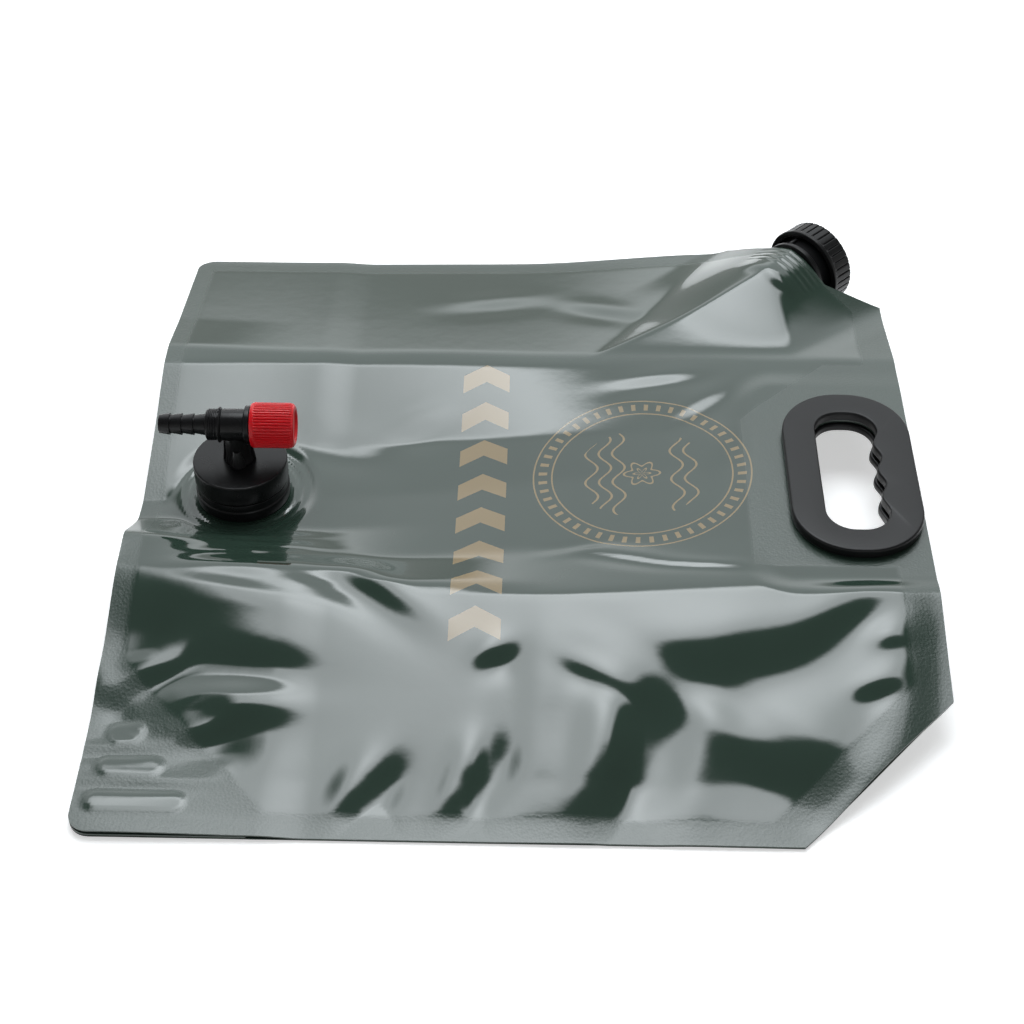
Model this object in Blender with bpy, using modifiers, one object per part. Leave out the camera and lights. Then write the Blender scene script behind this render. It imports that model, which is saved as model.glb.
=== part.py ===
"""Collapsible water carrier, lying flat and empty with its front wall up.

Run it with blender --background --python part.py, or from the text editor. Lengths are in metres,
+Z is up and the origin is the middle of the bag's outline on the floor. X runs from the bag's
bottom seam, where the tap is, to its carrying handle. Y runs across the bag, away from the eye.

The bag is two walls of film with a folded gusset at the bottom. Two lengthwise creases split it into
a near flap, a centre panel and a far flap, so each wall is made of three solids that turn on them.
"""

import math

import bmesh
import bpy
import numpy as np
from mathutils import Matrix, Vector

# Film and outline
BAG_LENGTH = 0.400
BAG_WIDTH = 0.430
FILM = 0.0005
PLY_GAP = 0.0004
SEAT_GAP = 0.0003
CORNER_RADIUS = 0.010
NEAR_CHAMFER = 0.073
FAR_CHAMFER_X = 0.083
FAR_CHAMFER_Y = 0.061
NEAR_CREASE_Y = -0.070
FAR_CREASE_Y = 0.096
NEAR_PIVOT_LEFT_Z = 0.0128
NEAR_PIVOT_RIGHT_Z = 0.0262
FAR_PIVOT_LEFT_Z = 0.0205
FAR_PIVOT_RIGHT_Z = 0.0250
CREST_HEIGHT = 0.027
GUSSET_DEPTH = 0.080
GUSSET_PLIES = 0.0010
GUSSET_EASE = 0.014
CUT_OVERRUN = 0.003
CUTTER_HEIGHT = 0.140

# Handle
HANDLE_INSET = 0.034
HANDLE_Y = -0.001
HANDLE_WIDTH = 0.066
HANDLE_LENGTH = 0.120
HANDLE_CORNER = 0.031
HANDLE_OPENING_WIDTH = 0.032
HANDLE_OPENING_LENGTH = 0.088
HANDLE_OPENING_CORNER = 0.014
HANDLE_FILM_HEIGHT = 0.0275
HANDLE_FRONT_THICKNESS = 0.0055
HANDLE_BACK_THICKNESS = 0.0045
HANDLE_EDGE = 0.0014
HANDLE_FILM_LAP = 0.0015
HANDLE_FLAT = 0.012
HANDLE_EASE = 0.016
FINGER_RISE = 0.003
FINGER_PITCH = 0.020
FINGER_RESTS = 3
PIN_RADIUS = 0.002
PIN_SOCKET_DEPTH = 0.0028

# Tap fitment welded in the front wall, and its closure
TAP_INSET = 0.0525
TAP_Y = 0.006
WELD_FLANGE_RADIUS = 0.030
WELD_FLANGE = 0.0030
COLLAR_RADIUS = 0.02425
COLLAR_HEIGHT = 0.0105
NECK_RADIUS = 0.0200
NECK_BORE_RADIUS = 0.0170
CLOSURE_GAP = 0.0006
CLOSURE_SKIRT = 0.0120
CLOSURE_TOP = 0.0030
CLOSURE_WALL = 0.0030
GASKET = 0.0015
THREAD_RADIUS = 0.0006
THREAD_PITCH = 0.0040
TAP_FLAT = 0.015
TAP_EASE = 0.019

# Tap body, nozzle and valve, measured along the barrel from the stem's axis
BARREL_RISE = 0.0225
STEM_RADIUS = 0.0066
STEM_BORE_RADIUS = 0.0035
RISER_REACH = 0.0012
SPIGOT_RADIUS = 0.0050
SPIGOT_LIP = 0.0012
SPIGOT_LIP_HEIGHT = 0.0025
BARREL_RADIUS = 0.00825
BARREL_BACK = 0.0070
BARREL_FRONT = 0.0047
BARREL_BORE_RADIUS = 0.0055
SEAT_BORE_RADIUS = 0.0030
SEAT_BACK = 0.0045
SEAT_WALL = 0.0020
NOZZLE_COLLAR = 0.0062
NOZZLE_BORE_RADIUS = 0.0030
TAIL_LENGTH = 0.0243
TAIL_RADIUS = 0.0047
BARB_RADIUS = 0.00555
BARBS = 4
BARB_STEP_SHARE = 0.22
SPIGOT_WALL = 0.0018
SPIGOT_DEPTH = 0.0030
O_RING_WALL = 0.0006
BONNET_FLANGE_RADIUS = 0.0100
BONNET_FLANGE = 0.0028
BONNET_TUBE_RADIUS = 0.0068
BONNET_TUBE = 0.0120
BONNET_PLUG = 0.0040
PLUG_BORE_SHARE = 0.35
KNOB_RADIUS = 0.01165
KNOB_LENGTH = 0.0225
KNOB_WALL = 0.0036
KNOB_CAP = 0.0040
KNOB_CHAMFER = 0.0015
KNOB_SOCKET_DEPTH = 0.0020
SPINDLE_RADIUS = 0.0025
SPINDLE_HEAD_RADIUS = 0.0038
SPINDLE_HEAD = 0.0015
VALVE_SEAL = 0.0015
SPINDLE_RING_WIDTH = 0.0012
SPINDLE_RING_DEPTH = 0.0010
SPINDLE_RING_SHARE = 0.55
BOSS_RADIUS = 0.0040
BOSS_TIP_RADIUS = 0.0018
BOSS_HEIGHT = 0.0100
BOSS_SINK = 0.0007

# Filler spout in the far right corner, measured along its axis from the cap's rim station
SPOUT_END_INSET = 0.045
SPOUT_SIDE_INSET = 0.036
SPOUT_Z = 0.026
SPOUT_TURN = math.radians(45.0)
BOAT_BACK = 0.024
BOAT_FRONT = 0.0060
BOAT_HALF_WIDTH = 0.028
BOAT_HALF_THICKNESS = 0.0130
BOAT_TIP = 0.0008
BOAT_WALL = 0.0030
BOAT_THROAT_STEP = 0.0012
BOAT_RIBS = 4
BOAT_RIB_DEPTH = 0.0008
SPOUT_FLANGE = 0.0030
SPOUT_FLANGE_RADIUS = 0.0205
SPOUT_NECK_RADIUS = 0.0190
SPOUT_NECK_END = 0.0138
SPOUT_BORE_RADIUS = 0.0150
SPOUT_NOTCH_HALF_WIDTH = 0.024
CAP_RADIUS = 0.0245
CAP_RIM = 0.0035
CAP_END = 0.0180
CAP_TOP = 0.0024
CAP_WALL = 0.0033
CAP_EDGE = 0.0012
LINER = 0.0012
LINER_RADIUS = 0.0195
FILM_SWELL = 0.0175
FILM_SWELL_HALF_WIDTH = 0.050
FILM_LIFT_HALF_WIDTH = 0.066
TENT_LENGTH = 0.070

# How finely round and folded shapes are cut
ROUND_STEPS = 32
SMALL_ROUND_STEPS = 20
PIN_STEPS = 10
BOAT_STEPS = 8
THREAD_POINTS_PER_TURN = 12
FILM_COLUMNS = 23
NEAR_ROWS = 7
CENTRE_ROWS = 13
FAR_ROWS = 9
WELD_DISTANCE = 0.00001

# Derived sizes
HALF_LENGTH = BAG_LENGTH / 2
HALF_WIDTH = BAG_WIDTH / 2
HANDLE_X = HALF_LENGTH - HANDLE_INSET
TAP_X = TAP_INSET - HALF_LENGTH
SPOUT_X = HALF_LENGTH - SPOUT_END_INSET
SPOUT_Y = HALF_WIDTH - SPOUT_SIDE_INSET
SEAL_STACK = 2 * FILM + PLY_GAP
GUSSET_STACK = SEAL_STACK + GUSSET_PLIES + PLY_GAP
TAP_STACK = GUSSET_STACK + WELD_FLANGE + SEAT_GAP
GUSSET_FOLD_X = GUSSET_DEPTH - HALF_LENGTH
WELD_FLANGE_Z = GUSSET_STACK - FILM
COLLAR_Z = TAP_STACK + SEAT_GAP
COLLAR_TOP = COLLAR_Z + COLLAR_HEIGHT
CLOSURE_Z = COLLAR_TOP + CLOSURE_GAP
CLOSURE_END = CLOSURE_Z + CLOSURE_SKIRT
NECK_TOP = CLOSURE_END - CLOSURE_TOP - 2 * SEAT_GAP - GASKET
BARREL_Z = CLOSURE_END + BARREL_RISE
HANDLE_FILM_TOP = HANDLE_FILM_HEIGHT + SEAL_STACK

# The front wall's course, seen along X: for each station along the bag (a share of the half length),
# points across it as shares of the half width and of the crest's height, from the near edge to the far
COURSE_SHARES = (
    (-1.00, ((-1.00, 0.00), (-0.86, 0.00), (-0.55, 0.10), (-0.41, 0.30), (-0.20, 0.80), (-0.07, 0.05),
             (0.00, 0.00), (0.25, 0.50), (0.41, 0.86), (0.49, 0.85), (0.64, 0.40), (1.00, 0.00))),
    (-0.65, ((-1.00, 0.00), (-0.86, 0.05), (-0.62, 0.25), (-0.44, 0.60), (-0.31, 0.84), (-0.16, 0.22),
             (0.00, 0.00), (0.25, 0.48), (0.40, 0.86), (0.48, 0.87), (0.65, 0.42), (1.00, 0.00))),
    (0.05, ((-1.00, 0.00), (-0.86, 0.10), (-0.66, 0.44), (-0.50, 0.82), (-0.40, 0.94), (-0.22, 0.58),
            (0.02, 0.34), (0.22, 0.55), (0.38, 0.90), (0.46, 0.92), (0.66, 0.50), (1.00, 0.10))),
    (0.52, ((-1.00, 0.02), (-0.86, 0.16), (-0.68, 0.56), (-0.52, 0.92), (-0.38, 1.08), (-0.20, 1.00),
            (0.04, 0.94), (0.22, 0.92), (0.37, 0.96), (0.46, 0.96), (0.66, 0.66), (1.00, 0.46))),
    (1.00, ((-1.00, 0.00), (-0.71, 0.42), (-0.58, 0.98), (-0.44, 1.24), (-0.34, 1.28), (-0.20, 1.12),
            (0.04, 1.02), (0.22, 0.98), (0.38, 1.00), (0.45, 1.00), (0.60, 0.48), (1.00, 0.20))),
)
COURSE_EASE_SHARE = 0.035

GREEN_FILM = ("green_film", (0.028, 0.048, 0.036), 0.12)
GUSSET_GREEN = ("gusset_green", (0.020, 0.036, 0.027), 0.30)
BLACK_PLASTIC = ("black_plastic", (0.017, 0.017, 0.018), 0.42)
BLACK_HANDLE = ("black_handle", (0.024, 0.024, 0.026), 0.50)
RED_PLASTIC = ("red_plastic", (0.480, 0.012, 0.022), 0.38)
BLACK_RUBBER = ("black_rubber", (0.012, 0.012, 0.012), 0.80)


def clear_scene():
    for obj in list(bpy.data.objects):
        bpy.data.objects.remove(obj, do_unlink=True)


def collection(name):
    found = bpy.data.collections.new(name)
    bpy.context.scene.collection.children.link(found)
    return found


def material(finish):
    name, colour, roughness = finish
    made = bpy.data.materials.get(name)
    if made is None:
        made = bpy.data.materials.new(name)
        made.use_nodes = True
        shader = made.node_tree.nodes["Principled BSDF"]
        shader.inputs["Base Color"].default_value = (*colour, 1.0)
        shader.inputs["Roughness"].default_value = roughness
        shader.inputs["Metallic"].default_value = 0.0
        made.diffuse_color = (*colour, 1.0)
    return made


def place(name, mesh, group, finish=None, matrix=None):
    """One named object of this mesh in the collection, with its finish and place."""
    obj = bpy.data.objects.new(name, mesh)
    group.objects.link(obj)
    if matrix is not None:
        obj.matrix_world = matrix
    if finish is None:
        obj.hide_render = True
        obj.display_type = "WIRE"
    else:
        mesh.materials.clear()
        mesh.materials.append(material(finish))
    return obj


def baked(obj):
    """The object's evaluated mesh, welded and facing out, with the object itself removed."""
    bpy.context.view_layer.update()
    graph = bpy.context.evaluated_depsgraph_get()
    mesh = bpy.data.meshes.new_from_object(obj.evaluated_get(graph))
    bpy.data.objects.remove(obj, do_unlink=True)
    work = bmesh.new()
    work.from_mesh(mesh)
    bmesh.ops.remove_doubles(work, verts=work.verts, dist=WELD_DISTANCE)
    bmesh.ops.recalc_face_normals(work, faces=work.faces)
    work.to_mesh(mesh)
    work.free()
    return mesh


def smooth(mesh, degrees=35.0):
    mesh.shade_smooth()
    mesh.set_sharp_from_angle(angle=math.radians(degrees))
    return mesh


def turned(profile, steps=ROUND_STEPS):
    """A mesh turned about Z from the closed outline of its half section, given as (radius, height)."""
    mesh = bpy.data.meshes.new("profile")
    points = [(radius, 0, height) for radius, height in profile]
    closing = [(n, (n + 1) % len(points)) for n in range(len(points))]
    if profile[0][0] == 0 and profile[-1][0] == 0:
        closing.pop()
    mesh.from_pydata(points, closing, [])
    obj = bpy.data.objects.new("profile", mesh)
    bpy.context.scene.collection.objects.link(obj)
    screw = obj.modifiers.new("turn", "SCREW")
    screw.steps = steps
    screw.render_steps = steps
    screw.use_merge_vertices = True
    screw.merge_threshold = WELD_DISTANCE
    return smooth(baked(obj))


def ring(outer, inner, low, high, steps=ROUND_STEPS):
    return turned(((outer, high), (outer, low), (inner, low), (inner, high)), steps)


def rod(radius, low, high, steps=SMALL_ROUND_STEPS):
    return turned(((0, high), (radius, high), (radius, low), (0, low)), steps)


def plate(outlines, thickness):
    """A flat plate, centred on Z = 0, of the given outlines: the first is its edge, the rest its holes."""
    curve = bpy.data.curves.new("outline", "CURVE")
    curve.dimensions = "2D"
    curve.fill_mode = "BOTH"
    curve.extrude = thickness / 2
    for outline in outlines:
        spline = curve.splines.new("POLY")
        spline.points.add(len(outline) - 1)
        for point, (x, y) in zip(spline.points, outline):
            point.co = (x, y, 0, 1)
        spline.use_cyclic_u = True
    obj = bpy.data.objects.new("outline", curve)
    bpy.context.scene.collection.objects.link(obj)
    return baked(obj)


def thread(radius, low, turns, pitch, steps=THREAD_POINTS_PER_TURN):
    """A helical ridge of small round section on a neck of this radius."""
    curve = bpy.data.curves.new("thread", "CURVE")
    curve.dimensions = "3D"
    curve.bevel_depth = THREAD_RADIUS
    curve.bevel_resolution = 0
    curve.use_fill_caps = True
    spline = curve.splines.new("POLY")
    count = round(turns * steps)
    spline.points.add(count)
    for n, point in enumerate(spline.points):
        angle = 2 * math.pi * n / steps
        point.co = (radius * math.cos(angle), radius * math.sin(angle), low + pitch * n / steps, 1)
    obj = bpy.data.objects.new("thread", curve)
    bpy.context.scene.collection.objects.link(obj)
    return baked(obj)


def combine(obj, other, operation="DIFFERENCE"):
    """Cuts or joins one object with another, which stays as a hidden helper."""
    change = obj.modifiers.new(other.name, "BOOLEAN")
    change.operation = operation
    change.solver = "EXACT"
    change.object = other
    return change


def round_edges(obj, width, degrees=40.0, segments=1):
    bevel = obj.modifiers.new("edges", "BEVEL")
    bevel.width = width
    bevel.segments = segments
    bevel.limit_method = "ANGLE"
    bevel.angle_limit = math.radians(degrees)
    return bevel


def rounded_rectangle(width, length, radius, steps=8):
    """Points of a rectangle with round corners about the origin, anticlockwise from its +X side."""
    points = []
    for corner, (side_x, side_y) in enumerate(((1, 1), (-1, 1), (-1, -1), (1, -1))):
        centre_x = side_x * (width / 2 - radius)
        centre_y = side_y * (length / 2 - radius)
        for n in range(steps + 1):
            angle = math.pi / 2 * (corner + n / steps)
            points.append((centre_x + radius * math.cos(angle), centre_y + radius * math.sin(angle)))
    return points


def ease(amount):
    """Smooth step of an amount between 0 and 1."""
    held = np.clip(amount, 0.0, 1.0)
    return held * held * (3 - 2 * held)


def course_height(x, y):
    """Height of the back wall's underside before the fittings shape it."""
    along = x / HALF_LENGTH
    across = y / HALF_WIDTH
    stations = [station for station, _ in COURSE_SHARES]
    place_share = float(np.clip(along, stations[0], stations[-1]))
    last = max(1, int(np.searchsorted(stations, place_share)))
    before, after = COURSE_SHARES[last - 1], COURSE_SHARES[last]
    share = (place_share - before[0]) / (after[0] - before[0])
    points = np.array(before[1]) * (1 - share) + np.array(after[1]) * share
    taps = across + COURSE_EASE_SHARE * np.array((-1.0, 0.0, 1.0))
    return float(np.mean(np.interp(taps, points[:, 0], points[:, 1]))) * CREST_HEIGHT


def handle_share(x, y):
    """1 where the handle holds the film flat, falling to 0 around it."""
    beyond_x = max(0, abs(x - HANDLE_X) - HANDLE_WIDTH / 2)
    beyond_y = max(0, abs(y - HANDLE_Y) - HANDLE_LENGTH / 2)
    return float(ease(1 - (math.hypot(beyond_x, beyond_y) - HANDLE_FLAT) / HANDLE_EASE))


def tap_share(x, y):
    """1 where the tap's flange holds the film flat, falling to 0 around it."""
    beyond = math.hypot(x - TAP_X, y - TAP_Y) - WELD_FLANGE_RADIUS - TAP_FLAT
    return float(ease(1 - beyond / TAP_EASE))


def spout_place(x, y):
    """Distance along the spout's axis and to its left, seen from above."""
    forward = Vector((math.cos(SPOUT_TURN), math.sin(SPOUT_TURN)))
    offset = Vector((x - SPOUT_X, y - SPOUT_Y))
    return offset.dot(forward), offset.dot(Vector((-forward.y, forward.x)))


def spout_shares(x, y):
    """How far the spout lifts the film and how far it swells it apart, each from 0 to 1."""
    along, aside = spout_place(x, y)
    reach = float(ease(1 + (along + BOAT_BACK + CUT_OVERRUN) / TENT_LENGTH))
    lift = max(0, 1 - (aside / FILM_LIFT_HALF_WIDTH) ** 2) ** 2
    swell = max(0, 1 - (aside / FILM_SWELL_HALF_WIDTH) ** 2) ** 2
    return lift * reach, swell * reach


def stack(x, y):
    """Height from the back wall's underside to the front wall's top, with the gusset and tap between."""
    gusset = float(ease(1 - (x - GUSSET_FOLD_X - CUT_OVERRUN) / GUSSET_EASE))
    height = SEAL_STACK + gusset * (GUSSET_STACK - SEAL_STACK)
    return height + tap_share(x, y) * (TAP_STACK - height)


def back_height(x, y):
    """Underside of the back wall."""
    held = tap_share(x, y)
    base = course_height(x, y) * (1 - held)
    base += handle_share(x, y) * (HANDLE_FILM_HEIGHT - base)
    if y < FAR_CREASE_Y - CUT_OVERRUN:
        return base
    lift, swell = spout_shares(x, y)
    return max(0, base + lift * (SPOUT_Z - stack(x, y) / 2 - base) - swell * FILM_SWELL)


def front_height(x, y):
    """Top of the front wall."""
    held = tap_share(x, y)
    base = course_height(x, y) * (1 - held)
    base += handle_share(x, y) * (HANDLE_FILM_HEIGHT - base)
    if y < FAR_CREASE_Y - CUT_OVERRUN:
        return base + stack(x, y)
    lift, swell = spout_shares(x, y)
    return base + lift * (SPOUT_Z - stack(x, y) / 2 - base) + swell * FILM_SWELL + stack(x, y)


def gusset_height(x, y):
    """Underside of the folded gusset, which lies on the back wall."""
    return back_height(x, y) + FILM + PLY_GAP


def bag_outline():
    """The bag's edge seen from above, anticlockwise from the near right chamfer."""
    points = [
        (HALF_LENGTH, NEAR_CHAMFER - HALF_WIDTH),
        (HALF_LENGTH, HALF_WIDTH - FAR_CHAMFER_Y),
    ]
    forward = Vector((math.cos(SPOUT_TURN), math.sin(SPOUT_TURN)))
    left = Vector((-forward.y, forward.x))
    edge = Vector((SPOUT_X, SPOUT_Y)) - BOAT_FRONT * forward
    points.append(tuple(edge - SPOUT_NOTCH_HALF_WIDTH * left))
    points.append(tuple(edge + SPOUT_NOTCH_HALF_WIDTH * left))
    points.append((HALF_LENGTH - FAR_CHAMFER_X, HALF_WIDTH))
    corners = rounded_rectangle(BAG_LENGTH, BAG_WIDTH, CORNER_RADIUS, steps=4)
    points += [point for point in corners if point[0] < 0]
    points.append((HALF_LENGTH - NEAR_CHAMFER, -HALF_WIDTH))
    return points


def between(points, low, high, axis=1):
    """The part of an outline that lies between two values of X (axis 0) or Y (axis 1)."""
    for limit, side in ((low, 1), (high, -1)):
        kept = []
        for before, after in zip(points[-1:] + points[:-1], points):
            depth_before = side * (before[axis] - limit)
            depth_after = side * (after[axis] - limit)
            if depth_before * depth_after < 0:
                share = depth_before / (depth_before - depth_after)
                kept.append(tuple(a + share * (b - a) for a, b in zip(before, after)))
            if depth_after >= 0:
                kept.append(after)
        points = kept
    return points


def handle_outline():
    return rounded_rectangle(HANDLE_WIDTH, HANDLE_LENGTH, HANDLE_CORNER)


def finger_opening(growth=0.0):
    """The handle's opening, whose +X side has a wave of finger rests, made larger by the growth."""
    width = HANDLE_OPENING_WIDTH + 2 * growth
    length = HANDLE_OPENING_LENGTH + 2 * growth
    corners = rounded_rectangle(width, length, HANDLE_OPENING_CORNER + growth, steps=5)
    half_wave = FINGER_RESTS * FINGER_PITCH / 2
    steps = 8 * FINGER_RESTS
    wave = []
    for n in range(steps + 1):
        y = half_wave * (2 * n / steps - 1)
        rise = FINGER_RISE * (1 - math.cos(2 * math.pi * FINGER_RESTS * n / steps)) / 2
        wave.append((width / 2 - rise, y))
    return wave + corners


def pin_places():
    """Centres of the snap pins, from the handle's middle: one at each corner and one amid each long side."""
    aside = (HANDLE_WIDTH + HANDLE_OPENING_WIDTH) / 4
    ahead = (HANDLE_LENGTH + HANDLE_OPENING_LENGTH) / 4
    corner_share = 0.62
    return [
        (side * aside * share, end * ahead)
        for side in (-1, 1)
        for end, share in ((-1, corner_share), (0, 1), (1, corner_share))
    ]


def film_panel(name, height, rows, y_low, y_high, thickness, group, cutter, finish):
    """One panel of film: a grid that follows the height, raised by its thickness and cut to its outline.

    The thickness is upright, so that layers which lie on each other keep their gap on every slope.
    """
    mesh = bpy.data.meshes.new(name)
    work = bmesh.new()
    bmesh.ops.create_grid(work, x_segments=FILM_COLUMNS, y_segments=rows, size=1.0)
    for vertex in work.verts:
        x = vertex.co.x * (HALF_LENGTH + CUT_OVERRUN)
        y = y_low + (y_high - y_low) * (vertex.co.y + 1) / 2
        vertex.co = (x, y, height(x, y))
    bmesh.ops.triangulate(work, faces=work.faces, quad_method="FIXED")
    lower = work.faces[:]
    upper = bmesh.ops.extrude_face_region(work, geom=lower, use_keep_orig=True)["geom"]
    raised = [part for part in upper if isinstance(part, bmesh.types.BMVert)]
    bmesh.ops.translate(work, verts=raised, vec=(0, 0, thickness))
    bmesh.ops.recalc_face_normals(work, faces=work.faces)
    work.to_mesh(mesh)
    work.free()
    panel = place(name, mesh, group, finish)
    combine(panel, cutter, "INTERSECT")
    return panel


def build_bag(parts, helpers):
    """The six wall panels and the three gusset panels, cut apart at the creases."""
    half_gap = SEAT_GAP / 2
    strips = {
        "near": (-HALF_WIDTH - CUT_OVERRUN, NEAR_CREASE_Y - half_gap, NEAR_ROWS),
        "centre": (NEAR_CREASE_Y + half_gap, FAR_CREASE_Y - half_gap, CENTRE_ROWS),
        "far": (FAR_CREASE_Y + half_gap, HALF_WIDTH + CUT_OVERRUN, FAR_ROWS),
    }
    made = {}
    for side, (low, high, rows) in strips.items():
        outline = between(bag_outline(), low, high)
        wall = place(side + "_wall_cutter", plate([outline], CUTTER_HEIGHT), helpers)
        folded = between(outline, -BAG_LENGTH, GUSSET_FOLD_X, axis=0)
        gusset = place(side + "_gusset_cutter", plate([folded], CUTTER_HEIGHT), helpers)
        layers = (
            ("front_film_", front_height, -FILM, wall, GREEN_FILM),
            ("back_film_", back_height, FILM, wall, GREEN_FILM),
            ("bottom_gusset_", gusset_height, GUSSET_PLIES, gusset, GUSSET_GREEN),
        )
        for layer, height, thickness, cutter, finish in layers:
            name = layer + side
            made[name] = film_panel(
                name, height, rows, low - CUT_OVERRUN, high + CUT_OVERRUN, thickness, parts, cutter, finish
            )
    return made


def build_handle(parts, helpers, films):
    """Two shells that clamp the film round the finger opening; the front one's pins snap into the back."""
    middle = Matrix.Translation((HANDLE_X, HANDLE_Y, 0))
    front_low = HANDLE_FILM_TOP + SEAT_GAP
    back_high = HANDLE_FILM_HEIGHT - SEAT_GAP
    front = handle_shell("handle_front_shell", front_low, front_low + HANDLE_FRONT_THICKNESS, parts)
    back = handle_shell("handle_back_shell", back_high - HANDLE_BACK_THICKNESS, back_high, parts)
    pin_low = back_high - PIN_SOCKET_DEPTH
    pin_high = front_low + PIN_SOCKET_DEPTH
    walls = [films["front_film_centre"], films["back_film_centre"]]
    for n, (x, y) in enumerate(pin_places()):
        spot = middle @ Matrix.Translation((x, y, 0))
        pin = rod(PIN_RADIUS, pin_low, pin_high, PIN_STEPS)
        combine(front, place("snap_pin_%d" % n, pin, helpers, matrix=spot), "UNION")
        hole = rod(PIN_RADIUS + SEAT_GAP, pin_low - SEAT_GAP, pin_high, PIN_STEPS)
        cutter = place("snap_pin_hole_%d" % n, hole, helpers, matrix=spot)
        for obj in (back, *walls):
            combine(obj, cutter)
    opening = plate([finger_opening(HANDLE_FILM_LAP)], CUTTER_HEIGHT)
    cutter = place("handle_film_cutter", opening, helpers, matrix=middle)
    for wall in walls:
        combine(wall, cutter)


def handle_shell(name, low, high, parts):
    """One half of the handle, between two heights, with its edges rounded."""
    flat = smooth(plate([handle_outline(), finger_opening()], high - low))
    place_matrix = Matrix.Translation((HANDLE_X, HANDLE_Y, (low + high) / 2))
    shell = place(name, flat, parts, BLACK_HANDLE, place_matrix)
    round_edges(shell, HANDLE_EDGE)
    return shell


def build_tap_fitment(parts, helpers, films):
    """The fitment welded in the front wall: flange under the film, collar and threaded neck above it."""
    axis = Matrix.Translation((TAP_X, TAP_Y, 0))
    flange_top = WELD_FLANGE_Z + WELD_FLANGE
    profile = (
        (NECK_RADIUS, NECK_TOP),
        (NECK_RADIUS, COLLAR_TOP),
        (COLLAR_RADIUS, COLLAR_TOP),
        (COLLAR_RADIUS, COLLAR_Z),
        (NECK_RADIUS, COLLAR_Z),
        (NECK_RADIUS, flange_top),
        (WELD_FLANGE_RADIUS, flange_top),
        (WELD_FLANGE_RADIUS, WELD_FLANGE_Z),
        (NECK_BORE_RADIUS, WELD_FLANGE_Z),
        (NECK_BORE_RADIUS, NECK_TOP),
    )
    fitment = place("tap_fitment", turned(profile), parts, BLACK_PLASTIC, axis)
    low = CLOSURE_Z + 2 * THREAD_RADIUS
    turns = (NECK_TOP - 2 * THREAD_RADIUS - low) / THREAD_PITCH
    ridge = place("tap_thread", thread(NECK_RADIUS, low, turns, THREAD_PITCH), helpers, matrix=axis)
    combine(fitment, ridge, "UNION")
    hole = rod(NECK_RADIUS + SEAT_GAP, flange_top, COLLAR_TOP, steps=ROUND_STEPS)
    combine(films["front_film_centre"], place("tap_film_cutter", hole, helpers, matrix=axis))


def build_tap_closure(parts, pivot):
    """The screw closure that carries the tap, and the gasket that seals it on the neck."""
    axis = Matrix.Translation((TAP_X, TAP_Y, 0))
    inside = COLLAR_RADIUS - CLOSURE_WALL
    under = CLOSURE_END - CLOSURE_TOP
    profile = (
        (COLLAR_RADIUS - CAP_EDGE, CLOSURE_END),
        (COLLAR_RADIUS, CLOSURE_END - CAP_EDGE),
        (COLLAR_RADIUS, CLOSURE_Z),
        (inside, CLOSURE_Z),
        (inside, under),
        (SPIGOT_RADIUS + SEAT_GAP, under),
        (SPIGOT_RADIUS + SEAT_GAP, CLOSURE_END),
    )
    closure = place("tap_closure_cap", turned(profile), parts, BLACK_PLASTIC, axis)
    seal = ring(NECK_RADIUS, NECK_BORE_RADIUS, under - SEAT_GAP - GASKET, under - SEAT_GAP)
    gasket = place("tap_gasket", seal, parts, BLACK_RUBBER, axis)
    keep_parent(closure, pivot)
    keep_parent(gasket, pivot)


def keep_parent(obj, parent):
    """Parents an object to an empty on its joint's axis without moving it."""
    bpy.context.view_layer.update()
    world = obj.matrix_world.copy()
    obj.parent = parent
    obj.matrix_parent_inverse = parent.matrix_world.inverted()
    obj.matrix_world = world


def pivot_at(name, group, matrix):
    empty = bpy.data.objects.new(name, None)
    empty.empty_display_size = CORNER_RADIUS
    group.objects.link(empty)
    empty.matrix_world = matrix
    return empty


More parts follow.
